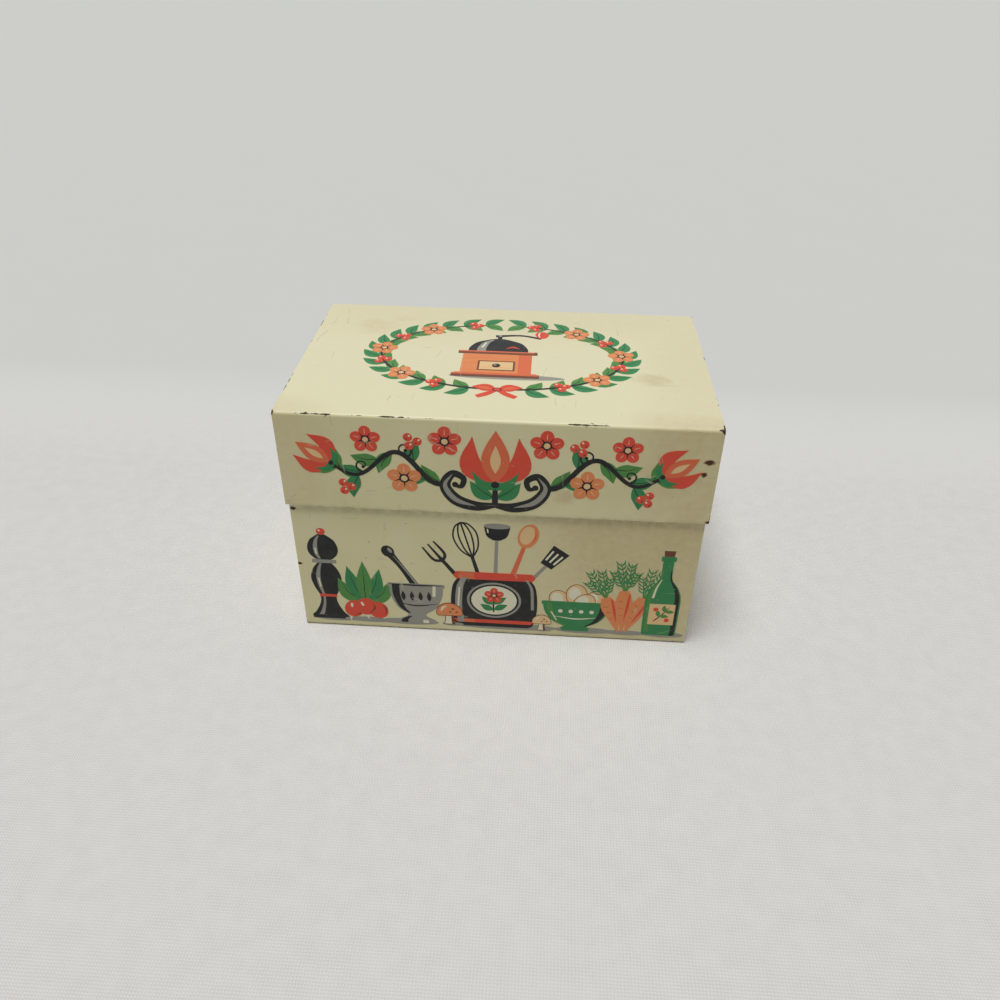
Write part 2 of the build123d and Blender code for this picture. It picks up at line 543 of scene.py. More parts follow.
    def enamel_colour(self, tree: Tree, coords: Socket, normal: Socket) -> Socket:
        """Gives the enamel's colour: mottled, stained, flecked, dirty in bands and scratched.

        Args:
            tree: The material's node tree.
            coords: Object coordinates.
            normal: The object-space normal.

        Returns:
            The colour of the enamel where it is whole.
        """
        # Paler on upward faces: painted light, as from the lamp overhead.
        level = add(tree, "SeparateXYZ", {0: normal}, 2)
        skyward_light = add(tree, "MapRange", self.skyward_light.over(level))
        speckle = self.speckle.mask(tree, coords)
        _, y, z = add(tree, "SeparateXYZ", {0: coords}).node.outputs
        limit = self.shell.high[1] - self.clean_back * MM
        ahead = add(tree, "Math", {0: y, 1: limit}, operation="LESS_THAN")
        # Grime bands, partly painted shade at the lid's seam.
        dirt_and_shade = strongest(tree, (band.mask(tree, z) for band in self.shell.grime_and_shade))
        for share in (speckle, ahead):
            dirt_and_shade = add(tree, "Math", {0: dirt_and_shade, 1: share}, operation="MULTIPLY")
        # Stains, and broad marks of painted shade.
        stain_and_shade_mask = strongest(tree, (stain_and_shade.mask(tree, coords) for stain_and_shade in self.shell.stains_and_shade))
        blots = {0: speckle, 1: self.stain_and_shade_speckle, 2: self.stain_and_shade_evenness}
        blots = add(tree, "Math", blots, operation="MULTIPLY_ADD")
        stain_and_shade_mask = add(tree, "Math", {0: stain_and_shade_mask, 1: blots}, operation="MULTIPLY")
        return coated(
            tree,
            self.enamel,
            (self.mottle.mask(tree, coords), 1.0, self.yellowed),
            (skyward_light, 1.0, self.bleached_and_lit),
            (stain_and_shade_mask, self.stain_and_shade_strength, self.stain_and_shade),
            (dirt_and_shade, self.dirt_and_shade_strength, self.grime_and_shade),
            (self.specks.mask(tree, coords), self.speck_strength, self.grime_and_shade),
            (self.ageing.scratches(tree, coords), self.scratch_strength, self.grime_and_shade),
        )

    def look(self, tree: Tree) -> dict:
        """Gives enamel with its rust and chips on the painted side, and clouded tin elsewhere.

        Args:
            tree: The material's node tree.

        Returns:
            The inputs of its Principled shader.
        """
        coords, normal = (add(tree, "TexCoord", out=output) for output in ("Object", "Normal"))
        rusty = strongest(tree, (spot.mask(tree, coords) for spot in self.shell.rust))
        coats = [(add(tree, "MapRange", self.rust_halo.over(rusty)), 1.0, self.bled)]
        if self.cut_ends:
            along = add(tree, "SeparateXYZ", {0: normal}, 0)
            steep = add(tree, "Math", {0: along}, operation="ABSOLUTE")
            cut = add(tree, "MapRange", self.cut_facing.over(steep))
            coats.append((cut, 1.0, self.cut_edge))

        chips = self.edge_chips(tree, coords)
        spots = add(tree, "MapRange", self.rust_core.over(rusty))
        bare = add(tree, "Math", {0: chips, 1: spots}, operation="MAXIMUM")
        browned = coated(tree, self.chipped, (self.bloom.mask(tree, coords), 1.0, self.rust))
        coats.append((bare, 1.0, browned))
        enamelled = coated(tree, self.enamel_colour(tree, coords, normal), *coats)

        clouds = self.clouds.mask(tree, coords)
        plate = coated(tree, self.tin, (clouds, 1.0, self.dulled_tin))
        painted = self.painted_side(tree, coords, normal)
        bare_tin = add(tree, "Math", {0: 1.0, 1: painted}, operation="SUBTRACT")
        chipped_tin = add(tree, "Math", {0: chips, 1: self.chip_metal}, operation="MULTIPLY")
        cloudy = {0: clouds, 1: self.cloud_dulling, 2: self.tin_roughness}
        duller = {0: bare, 1: self.chip_dulling, 2: self.enamel_roughness}
        sheens = [add(tree, "Math", mix, operation="MULTIPLY_ADD") for mix in (cloudy, duller)]
        return {
            "Base Color": coated(tree, plate, (painted, 1.0, enamelled)),
            "Metallic": add(tree, "Math", {0: bare_tin, 1: chipped_tin}, operation="MAXIMUM"),
            "Roughness": add(tree, "Mix", {0: painted, 2: sheens[0], 3: sheens[1]}),
            "Specular IOR Level": self.shine,
            "Normal": self.ageing.surface(tree, coords),
        }


@dataclass(frozen=True)
class DrawnWire(Finish):
    """Drawn mild steel wire, dull grey, with fine lines along it and a bloom of rust."""

    steel: str = "#8D8A83"
    rust: str = "#6B4630"
    roughness: float = 0.38
    lines: Grain = Grain(0.15, 2.0)
    line_stretch: Point3 = (0.05, 1.0, 1.0)
    line_dulling: float = 0.2
    line_depth: float = 0.01
    bloom: Blotches = Blotches(1.5, 2.0, 0.5, 0.7)

    def look(self, tree: Tree) -> dict:
        """Gives grey steel with lines drawn out along X.

        Args:
            tree: The material's node tree.

        Returns:
            The inputs of its Principled shader.
        """
        coords = add(tree, "TexCoord", out="Object")
        along = add(tree, "Mapping", {"Vector": coords, "Scale": self.line_stretch})
        lines = add(tree, "TexNoise", self.lines.over(along))
        streaks = {0: lines, 1: self.line_dulling, 2: self.roughness}
        return {
            "Base Color": coated(tree, self.steel, (self.bloom.mask(tree, coords), 1.0, self.rust)),
            "Metallic": 1.0,
            "Roughness": add(tree, "Math", streaks, operation="MULTIPLY_ADD"),
            "Normal": add(tree, "Bump", {"Height": lines, "Distance": self.line_depth * MM}),
        }


class Ink(Enum):
    """The spot colours of the print, as sRGB."""

    BLACK = "#171A1B"
    GREY = "#96948A"
    RED = "#DB4C36"
    BRICK = "#DB6C44"
    ORANGE = "#E08A54"
    PEACH = "#E4C08C"
    GREEN = "#31834C"
    LEAF = "#4E8A42"
    BROWN = "#70402B"
    CREAM = "#E3DEC2"

    @property
    def material_name(self) -> str:
        """The name of the material that prints it."""
        return "litho_ink_" + self.name.lower()


@dataclass(frozen=True)
class LithoInk(Finish):
    """Oil-based litho ink under varnish: flat, even colour, rubbed thin and scratched by use."""

    ink: Ink
    roughness: float = 0.36
    shine: float = 0.25
    rubbed: str = "#CFC8A6"
    unevenness: Blotches = Blotches(3.0, 4.0, 0.35, 0.85)
    pits: Blotches = Blotches(0.9, 2.0, 0.74, 0.78)
    uneven_strength: float = 0.03
    pit_strength: float = 0.5
    scratch_strength: float = 0.4
    ageing: Ageing = field(default_factory=Ageing)

    def look(self, tree: Tree) -> dict:
        """Gives one ink, paler where it is thin, pitted or scratched.

        Args:
            tree: The material's node tree.

        Returns:
            The inputs of its Principled shader.
        """
        coords = add(tree, "TexCoord", out="Object")
        colour = coated(
            tree,
            self.ink.value,
            (self.unevenness.mask(tree, coords), self.uneven_strength, self.rubbed),
            (self.pits.mask(tree, coords), self.pit_strength, self.rubbed),
            (self.ageing.scratches(tree, coords), self.scratch_strength, self.rubbed),
        )
        return {
            "Base Color": colour,
            "Roughness": self.roughness,
            "Specular IOR Level": self.shine,
            "Normal": self.ageing.surface(tree, coords),
        }


# ---------------------------------------------------------------- drawing in ink


# Ink this narrow, in half widths and millimetres, is the least that keeps a film's ends open.
LEAST_HALF = 0.03
# Ovals stop this far short of their poles, in radians, for the same reason.
POLE_GAP = 0.04


def through(points: Sequence[Sequence[float]], count: int = 24) -> Grid:
    """Samples a smooth curve through points.

    It is a Catmull-Rom spline: a cubic between each two points, whose slope at a point is half
    the step between that point's neighbours.

    Args:
        points: The points, of any number of coordinates.
        count: How many samples to take.

    Returns:
        The samples, one a row.
    """
    knots = np.asarray(points, float)
    padded = np.vstack([2 * knots[0] - knots[1], knots, 2 * knots[-1] - knots[-2]])
    spot = np.linspace(0, len(knots) - 1, count)
    span = np.minimum(spot.astype(int), len(knots) - 2)
    t = (spot - span)[:, None]
    a, b, c, d = (padded[span + k] for k in range(4))
    square, cube = 2 * a - 5 * b + 4 * c - d, 3 * b - a - 3 * c + d
    return 0.5 * (2 * b + (c - a) * t + square * t**2 + cube * t**3)


def stroke(points: Sequence[Point], widths: Sequence[float], count: int = 22) -> Grid:
    """Draws a line of varying width, as two edges set off square to a smooth path.

    Args:
        points: The path's points.
        widths: Half widths, spread evenly along the path and blended smoothly.
        count: How many samples to take along it.

    Returns:
        The patch: (count, left and right edge, u and v), in millimetres.
    """
    path = through(points, count)
    slope = np.gradient(path, axis=0)
    slope /= np.linalg.norm(slope, axis=1, keepdims=True)
    across = slope[:, ::-1] * (-1, 1)
    half = np.maximum(through([(w,) for w in widths], count), LEAST_HALF)
    return np.stack([path + across * half, path - across * half], axis=1)


def leaf(base: Point, tip: Point, half: float, bend: float = 0.0, count: int = 14) -> Grid:
    """Draws a leaf: a bowed line that swells to half its width and comes to a point.

    Args:
        base: Where it joins its stem.
        tip: Its point.
        half: Its greatest half width.
        bend: How far its middle bows to the left of the line from base to tip.
        count: How many samples to take along it.

    Returns:
        The patch, as stroke gives it.
    """
    start, end = np.asarray(base, float), np.asarray(tip, float)
    across = (end - start)[::-1] * (-1, 1) / np.linalg.norm(end - start)
    middle = (start + end) / 2 + across * bend
    return stroke([start, middle, end], [0.04, 0.8 * half, half, 0.62 * half, 0.0], count)


def oval(u: float, v: float, half_width: float, half_height: float, turn: float = 0.0) -> Grid:
    """Draws an ellipse, as its left and right halves from bottom to top.

    Args:
        u: Its middle, across.
        v: Its middle, up.
        half_width: Its reach sideways before it is turned.
        half_height: Its reach up before it is turned.
        turn: The turn in degrees, anticlockwise.

    Returns:
        The patch, as stroke gives it.
    """
    sweep = np.linspace(POLE_GAP, math.pi - POLE_GAP, 16)
    side = np.stack([half_width * np.sin(sweep), -half_height * np.cos(sweep)], axis=1)
    cos, sin = math.cos(math.radians(turn)), math.sin(math.radians(turn))
    return np.stack([side * (-1, 1), side], axis=1) @ np.array([[cos, sin], [-sin, cos]]) + (u, v)


def turned(
    profile: Sequence[Point], left: float = -1.0, right: float = 1.0, smooth: bool = True
) -> Grid:
    """Draws the outline of a turned thing, or an upright slice of it, about the axis u = 0.

    Args:
        profile: (half width, height) from the foot up.
        left: Where the left edge runs, as a share of the half width.
        right: Where the right edge runs.
        smooth: Whether the profile is a smooth curve or keeps its corners.

    Returns:
        The patch, as stroke gives it.
    """
    edge = through(profile, 6 * len(profile)) if smooth else np.asarray(profile, float)
    edge[:, 0] = np.maximum(edge[:, 0], LEAST_HALF)
    return np.stack([edge * (left, 1), edge * (right, 1)], axis=1)


def panel(left: Sequence[Point], right: Sequence[Point]) -> Grid:
    """Draws a straight-sided patch between two edges, which have as many corners each."""
    return np.stack([np.asarray(left, float), np.asarray(right, float)], axis=1)


@dataclass(frozen=True)
class Face:
    """A flat face of the tin: its middle, and its right and up directions seen from outside."""

    middle: Point3
    right: Point3
    up: Point3
    body: str


@dataclass
class LithoPrint:
    """One printed design on a face of the tin, as a mesh of closed films of ink.

    A film is a patch with its top at a height of its own and its foot just inside the sheet. It
    lies a step above the films of other inks that it overlaps, and a lap above those of its own
    ink, so that no two films lie in one plane. A step is about twice what ink builds up, and the
    first film stands off further.
    """

    name: str
    face: Face
    first_height: float = 0.02
    step: float = 0.004
    lap: float = 0.0015
    foot: float = -0.01
    films: list[tuple[Ink, Grid, float]] = field(default_factory=list)

    def lay(self, ink: Ink, patch: Grid) -> None:
        """Adds a film over the films that it overlaps.

        Args:
            ink: Its colour.
            patch: Its two edges on the face, in millimetres.
        """
        low, high = patch.min(axis=(0, 1)), patch.max(axis=(0, 1))
        height = self.first_height
        for other, under, below in self.films:
            if (under.min(axis=(0, 1)) < high).all() and (under.max(axis=(0, 1)) > low).all():
                height = max(height, below + (self.lap if other is ink else self.step))
        self.films.append((ink, patch, height))

    def loops(self, patch: Grid, height: float) -> Grid:
        """Gives the four corners of a film's section, in metres, at each row of its patch.

        A corner is the face's middle + right x u + up x v + outwards x height.

        Args:
            patch: The film's two edges on the face, in millimetres.
            height: How high its top lies, in millimetres.

        Returns:
            (row, corner, x y z), with the corners going round the section.
        """
        right, up = np.array(self.face.right), np.array(self.face.up)
        out = np.cross(right, up)
        flat = np.array(self.face.middle) + MM * (patch[..., :1] * right + patch[..., 1:] * up)
        top = flat + out * MM * height
        foot = flat + out * MM * self.foot
        return np.stack([top[:, 0], top[:, 1], foot[:, 1], foot[:, 0]], axis=1)

    def build(self) -> bpy.types.Object:
        """Makes the mesh: four sides and two end caps a film.

        Returns:
            The print's object, riding on the face's body.
        """
        spots, quads, inks = [], [], []
        start = 0
        order = list(Ink)
        for ink, patch, height in self.films:
            rows = len(patch)
            spots.append(self.loops(patch, height).reshape(-1, 3))
            row, corner = np.meshgrid(np.arange(rows - 1), np.arange(4), indexing="ij")
            after = (corner + 1) % 4
            ring = [row * 4 + corner, row * 4 + after, row * 4 + 4 + after, row * 4 + 4 + corner]
            sides = np.stack(ring, axis=-1).reshape(-1, 4)
            caps = np.array([[3, 2, 1, 0], [0, 1, 2, 3]]) + [[0], [4 * rows - 4]]
            quads.append(np.vstack([sides, caps]) + start)
            inks.append(np.full(len(quads[-1]), order.index(ink)))
            start += 4 * rows
        mesh = bpy.data.meshes.new(self.name)
        mesh.from_pydata(np.vstack(spots).tolist(), [], np.vstack(quads).tolist())
        for ink in order:
            mesh.materials.append(bpy.data.materials[ink.material_name])
        mesh.polygons.foreach_set("material_index", np.concatenate(inks).astype(np.int32))
        work = bmesh.new()
        work.from_mesh(mesh)
        bmesh.ops.recalc_face_normals(work, faces=work.faces)
        work.to_mesh(mesh)
        work.free()
        made = bpy.data.objects.new(self.name, mesh)
        bpy.context.scene.collection.objects.link(made)
        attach(made, self.face.body)
        highest = max(height for _, _, height in self.films)
        log.info("printed %s: %d films, up to %.3f mm high", self.name, len(self.films), highest)
        return made


@dataclass(frozen=True)
class Pen:
    """Draws on a print from a place of its own: its middle, turn, scale and mirroring."""

    design: LithoPrint
    axes: Grid = field(default_factory=lambda: np.eye(2))
    middle: Grid = field(default_factory=lambda: np.zeros(2))

    def at(
        self, u: float, v: float, turn: float = 0.0, scale: float = 1.0, mirror: bool = False
    ) -> Pen:
        """Gives a pen at a place measured from this one.

        Args:
            u: Its middle, across.
            v: Its middle, up.
            turn: Its turn in degrees, anticlockwise.
            scale: Its size.
            mirror: Whether its drawing is swapped left for right.

        Returns:
            The pen.
        """
        cos, sin = math.cos(math.radians(turn)), math.sin(math.radians(turn))
        own = scale * np.array([[cos, sin], [-sin, cos]])
        own[0] *= -1 if mirror else 1
        return Pen(self.design, own @ self.axes, self.middle + np.array([u, v]) @ self.axes)

    def lay(self, ink: Ink, *patches: Grid) -> None:
        """Prints patches of one ink."""
        for patch in patches:
            self.design.lay(ink, patch @ self.axes + self.middle)


class Motif(ABC):
    """A thing drawn in ink, which has its sizes in millimetres."""

    @abstractmethod
    def draw(self, pen: Pen) -> None:
        """Draws it from a pen."""


# ---------------------------------------------------------------- small garden motifs


@dataclass(frozen=True)
class Sprig:
    """Small leaves, berries and flowers that the larger designs share."""

    def leaf(self, pen: Pen, ink: Ink, length: float, half: float, bend: float = 0.6) -> None:
        """Draws a leaf upwards from the pen, with a dark rib.

        Args:
            pen: Where it joins its stem.
            ink: Its colour.
            length: Its length.
            half: Its greatest half width.
            bend: How far it bows to the left.
        """
        pen.lay(ink, leaf((0, 0), (0, length), half, bend))
        rib = [(0, 0.1 * length), (-0.8 * bend, 0.5 * length), (0, 0.86 * length)]
        pen.lay(Ink.BLACK, stroke(rib, [0.16, 0.12, 0.03], 8))

    def berry(self, pen: Pen, ink: Ink, radius: float) -> None:
        """Draws a round berry with a light glint and a black eye.

        Args:
            pen: Its middle.
            ink: Its colour.
            radius: Its radius.
        """
        pen.lay(ink, oval(0, 0, radius, radius))
        pen.lay(Ink.CREAM, oval(-0.36 * radius, 0.36 * radius, 0.2 * radius, 0.3 * radius, 40))
        pen.lay(Ink.BLACK, oval(0.3 * radius, -0.45 * radius, 0.16 * radius, 0.16 * radius))

    def flower(self, pen: Pen, ink: Ink, heart: Ink, radius: float, petals: int = 5) -> None:
        """Draws an open flower of round petals about a dark-rimmed heart.

        Args:
            pen: Its middle.
            ink: The petals' colour.
            heart: The heart's colour.
            radius: Its radius over the petals.
            petals: How many petals it has.
        """
        turns = np.arange(petals) * 360 / petals
        for turn in turns:
            petal = oval(0, 0.58 * radius, 0.40 * radius, 0.44 * radius)
            pen.at(0, 0, turn).lay(ink, petal)
        for turn in turns:
            vein, gap = (pen.at(0, 0, turn + lean) for lean in (0, 180 / petals))
            vein.lay(Ink.CREAM, stroke([(0, 0.45 * radius), (0, 0.8 * radius)], [0.1, 0.03], 4))
            dark = stroke([(0, 0.2 * radius), (0, 0.62 * radius)], [0.07 * radius, 0.03], 4)
            gap.lay(Ink.BLACK, dark)
        pen.lay(Ink.BLACK, oval(0, 0, 0.30 * radius, 0.30 * radius))
        pen.lay(heart, oval(0, 0, 0.19 * radius, 0.19 * radius))

    def tulip(self, pen: Pen, length: float) -> None:
        """Draws a folk tulip upwards from the pen: three petals over a green cup.

        Args:
            pen: Where it joins its stem.
            length: Its length.
        """
        s = length / 12
        for side in (-1, 1):
            half = side * s
            petal = [(0.3 * half, 0.8 * s), (4.6 * half, 4.5 * s), (4.4 * half, 11 * s)]
            pen.lay(Ink.RED, stroke(petal, [0.6 * s, 2.2 * s, 0.0], 16))
        pen.lay(Ink.BRICK, leaf((0, 0.6 * s), (0, 12.4 * s), 2.7 * s))
        pen.lay(Ink.PEACH, leaf((0, 3.0 * s), (0, 9.2 * s), 1.0 * s))
        for side in (-1, 1):
            sepal = [(0, 0), (2.6 * side * s, 0.5 * s), (4.6 * side * s, 3.4 * s)]
            pen.lay(Ink.GREEN, stroke(sepal, [0.9 * s, 0.9 * s, 0.0], 12))
        pen.lay(Ink.BLACK, oval(0, 0.4 * s, 0.8 * s, 0.8 * s))

    def curl(self, pen: Pen, size: float, turns: float = 1.15) -> None:
        """Draws a tendril that leaves the pen and winds in: a spiral of shrinking radius.

        Args:
            pen: Where it leaves its stem.
            size: Its outer radius.
            turns: How many turns it makes.
        """
        sweep = np.linspace(0, turns * 2 * math.pi, 30)
        radius = size * (1 - 0.78 * sweep / sweep[-1])
        path = np.stack([size - radius * np.cos(sweep), radius * np.sin(sweep)], axis=1)
        pen.lay(Ink.BLACK, stroke(path.tolist(), [0.35, 0.3, 0.24, 0.2], 40))
        pen.lay(Ink.BLACK, oval(*path[-1], 0.55, 0.55))


@dataclass(frozen=True)
class CoffeeMill(Motif):
    """A hand coffee mill: a wooden box with a drawer, an iron dome and a crank."""

    half_box: float = 10.5
    box_top: float = 15.5

    def draw(self, pen: Pen) -> None:
        """Draws it, standing on the pen.

        Args:
            pen: The middle of its foot.
        """
        w, top = self.half_box, self.box_top
        pen.lay(Ink.GREY, oval(3.5, 0.5, w + 6.5, 1.7))
        pen.lay(Ink.BROWN, turned([(w + 2.4, 0), (w + 2.4, 2.4)], smooth=False))
        bevel = [(w + 2.4, 1.6), (w + 1.4, 2.9)]
        pen.lay(Ink.BRICK, turned(bevel, smooth=False))
        pen.lay(Ink.ORANGE, turned([(w, 2.9), (w, top)], smooth=False))
        pen.lay(Ink.BRICK, panel([(w * 0.62, 2.9), (w * 0.62, top)], [(w, 2.9), (w, top)]))
        for level, reach in ((4.3, 0.5), (9.0, 0.15), (12.4, 0.4), (14.1, -0.1)):
            grain = [(-0.93 * w, level), (-0.4 * w, level + 0.5), (reach * w, level - 0.1)]
            pen.lay(Ink.BRICK, stroke(grain, [0.05, 0.16, 0.04], 10))
        pen.lay(Ink.BROWN, turned([(5.6, 4.4), (5.6, 10.9)], smooth=False))
        pen.lay(Ink.PEACH, turned([(5.0, 5.0), (5.0, 10.3)], smooth=False))
        pen.lay(Ink.ORANGE, stroke([(-4.4, 6.2), (0, 6.6), (4.4, 6.0)], [0.06, 0.16, 0.05], 8))
        pen.lay(Ink.BLACK, oval(0, 7.8, 1.25, 1.25))
        pen.lay(Ink.GREY, oval(-0.35, 8.15, 0.45, 0.45))
        lid = pen.at(0, top)
        lid.lay(Ink.BROWN, turned([(w + 1.6, 0), (w + 1.6, 2.2)], smooth=False))
        lit = panel([(-w - 1.6, 1.4), (-w - 1.2, 2.2)], [(w + 0.6, 1.4), (w + 0.6, 2.2)])
        lid.lay(Ink.BRICK, lit)
        dome = [(9.2, 2.2), (8.9, 4.6), (7.0, 8.2), (3.4, 10.4), (1.4, 11.2)]
        lid.lay(Ink.BLACK, turned(dome))
        lid.lay(Ink.GREY, turned(dome[:4], -0.72, -0.42))
        lid.lay(Ink.CREAM, turned(dome[1:3], -0.62, -0.54))
        lid.lay(Ink.RED, stroke([(2.2, 4.2), (4.4, 5.4), (6.6, 4.2)], [0.04, 0.5, 0.04], 10))
        lid.lay(Ink.BLACK, stroke([(0, 10.4), (0, 13.6)], [0.7, 0.7], 4))
        crank = [(-1.4, 13.2), (6.5, 14.3), (13.0, 12.4)]
        lid.lay(Ink.BLACK, stroke(crank, [0.8, 0.55, 0.6], 16))
        knob = [(0.5, 0), (1.5, 0.9), (2.2, 2.8), (1.5, 4.6), (0.2, 5.2)]
        handle = lid.at(13.2, 12.6)
        handle.lay(Ink.RED, turned(knob))
        handle.lay(Ink.CREAM, turned(knob[1:4], -0.6, -0.35))
        lid.lay(Ink.GREY, oval(0, 13.5, 0.6, 0.6))


@dataclass(frozen=True)
class Wreath(Motif):
    """An oval wreath of paired leaves with berries and flowers, tied with a bow below.

    Each side leaves out bow_gap radians of the ellipse at the bow, and open_sweep radians in all.
    """

    half_width: float = 41.0
    half_height: float = 25.0
    bow_gap: float = 0.16
    open_sweep: float = 0.34
    pairs: int = 15
    leaf_length: float = 9.0
    sprig: Sprig = field(default_factory=Sprig)

    def spot(self, share: float, side: int) -> tuple[float, float, float]:
        """Gives a place on the wreath, and the turn of its stem there.

        Args:
            share: How far up from the bow, 0 to 1.
            side: 1 on the right, -1 on the left.

        Returns:
            u and v on the ellipse, and the turn in degrees from straight up.
        """
        sweep = self.bow_gap + share * (math.pi - self.open_sweep)
        u, v = side * self.half_width * math.sin(sweep), -self.half_height * math.cos(sweep)
        run, rise = side * self.half_width * math.cos(sweep), self.half_height * math.sin(sweep)
        return u, v, math.degrees(math.atan2(-run, rise))

    def draw(self, pen: Pen) -> None:
        """Draws it: leaves first, then the stem, fruit, flowers and bow.

        Args:
            pen: Its middle.
        """
        shares = np.linspace(0.02, 1.0, self.pairs)
        for ink, lean, length in ((Ink.GREEN, -36, 1.0), (Ink.LEAF, 38, 0.86)):
            for side in (-1, 1):
                for share in shares:
                    u, v, turn = self.spot(share, side)
                    own = pen.at(u, v, turn + side * lean)
                    self.sprig.leaf(own, ink, self.leaf_length * length, 2.1, -0.9 * side)
        for side in (-1, 1):
            stem = [self.spot(share, side)[:2] for share in np.linspace(-0.04, 1.0, 17)]
            pen.lay(Ink.BLACK, stroke(stem, [0.5, 0.4, 0.3], 60))
        for side in (-1, 1):
            for index, share in enumerate(shares[:-1] + 0.5 / self.pairs):
                u, v, turn = self.spot(share, side)
                if index % 4 == 3:
                    self.sprig.flower(pen.at(u, v, turn), Ink.ORANGE, Ink.PEACH, 4.6)
                elif index % 2 == 1:
                    own = pen.at(u, v, turn)
                    for shift_u, shift_v in ((-1.6, 0.0), (1.6, 0.2), (0.0, 2.2)):
                        self.sprig.berry(own.at(shift_u, shift_v, -turn), Ink.RED, 1.45)
        self.bow(pen.at(0, -self.half_height))

    def bow(self, pen: Pen) -> None:
        """Draws a ribbon bow.

        Args:
            pen: The middle of its knot.
        """
        for side in (-1, 1):
            tail = [(0, 0), (3.2 * side, -3.0), (6.2 * side, -5.0)]
            pen.lay(Ink.RED, stroke(tail, [0.7, 1.1, 1.0], 12))
            pen.lay(Ink.RED, leaf((0.2 * side, 0), (8.2 * side, 1.6), 2.3, 0.5 * side))
            pen.lay(Ink.BRICK, leaf((1.8 * side, 0.3), (6.6 * side, 1.3), 0.9, 0.3 * side))
        pen.lay(Ink.BLACK, oval(0, 0, 1.5, 1.3))
        pen.lay(Ink.RED, oval(0, 0, 1.1, 0.95))


@dataclass(frozen=True)
class Vine(Motif):
    """A mirrored vine: a middle tulip, and waving stems with leaves and flowers to a tulip each.

    A stem is a sine wave, whose swing fades by a share of it towards the stem's end.
    """

    reach: float = 51.5
    swing: float = 6.4
    wave: float = 27.0
    start: float = -2.5
    fading: float = 0.55
    leaf_length: float = 9.2
    sprig: Sprig = field(default_factory=Sprig)

    def spot(self, u: float) -> tuple[float, float]:
        """Gives the stem's height and slope at a place along it.

        Args:
            u: The place, across from the vine's middle.

        Returns:
            The height, and the slope in degrees.
        """
        phase = 2 * math.pi * (u - self.start) / self.wave
        fade = 1 - self.fading * (u / self.reach) ** 2
        rise = self.swing * fade * math.cos(phase) * 2 * math.pi / self.wave
        return self.swing * fade * math.sin(phase), math.degrees(math.atan(rise))

    def arm(self, pen: Pen) -> None:
        """Draws the half that runs to the pen's right.

        Args:
            pen: The vine's middle.
        """
        path = [(u, self.spot(u)[0]) for u in np.linspace(15.0, self.reach, 18)]
        for u, lean, ink in (
            (17.0, 62, Ink.LEAF),
            (21.0, -54, Ink.GREEN),
            (25.5, 48, Ink.GREEN),
            (32.0, -48, Ink.LEAF),
            (36.0, 52, Ink.LEAF),
            (41.0, 50, Ink.GREEN),
            (43.0, -56, Ink.GREEN),
            (48.5, 48, Ink.LEAF),
            (49.5, -46, Ink.LEAF),
        ):
            v, slope = self.spot(u)
            own = pen.at(u, v, slope - 90 + lean)
            self.sprig.leaf(own, ink, self.leaf_length, 2.3, 0.9 if lean < 0 else -0.9)
        pen.lay(Ink.BLACK, stroke(path, [0.95, 0.85, 0.7, 0.6], 70))
        for u, flip in ((27.5, False), (39.0, True)):
            v, slope = self.spot(u)
            self.sprig.curl(pen.at(u, v, slope + (-118 if flip else 28), mirror=flip), 2.7)
        for u, lift, radius, ink in (
            (15.6, 9.6, 5.2, Ink.RED),
            (28.6, -4.4, 5.4, Ink.ORANGE),
            (40.0, 9.2, 4.7, Ink.RED),
        ):
            self.sprig.flower(pen.at(u, lift), ink, Ink.PEACH, radius)
        upper = ((24.0, 9.2), (26.9, 10.6), (26.6, 7.6))
        lower = ((45.6, -8.4), (48.2, -7.0), (48.0, -10.0))
        for u, v in upper + lower:
            self.sprig.berry(pen.at(u, v), Ink.RED, 1.45)
        v, slope = self.spot(self.reach)
        self.sprig.tulip(pen.at(self.reach - 0.4, v, slope - 90), 12.6)

    def draw(self, pen: Pen) -> None:
        """Draws it: both arms, then the scrolls and the tulip in the middle.

        Args:
            pen: Its middle.
        """
        halves = (pen, pen.at(0, 0, mirror=True))
        for own in halves:
            self.arm(own)
        scroll = [(0, -13.2), (6.0, -13.8), (12.4, -11.6), (15.8, -6.4)]
        scroll += [(13.4, -1.9), (10.0, -3.4), (10.6, -6.4), (12.8, -6.2)]
        widths = [0.9, 1.8, 2.1, 1.8, 1.3, 1.0, 0.8, 0.5]
        rib = [(0, -10.5), (3.8, -8.2), (6.8, -5.4)]
        for own in halves:
            own.lay(Ink.BLACK, stroke(scroll, widths, 44), oval(12.6, -5.9, 1.0, 1.0))
            own.lay(Ink.GREY, stroke(scroll[1:5], [0.05, 0.75, 0.85, 0.55, 0.05], 24))
            own.lay(Ink.GREEN, leaf((0, -10.5), (8.0, -4.4), 2.3, -1.2))
            own.lay(Ink.BLACK, stroke(rib, [0.16, 0.14, 0.03], 8))
        pen.lay(Ink.BLACK, stroke([(0, -13.4), (0, -5.0)], [1.0, 0.8], 6))
        self.sprig.tulip(pen.at(0, -6.0), 19.5)


# ---------------------------------------------------------------- kitchen things along the body


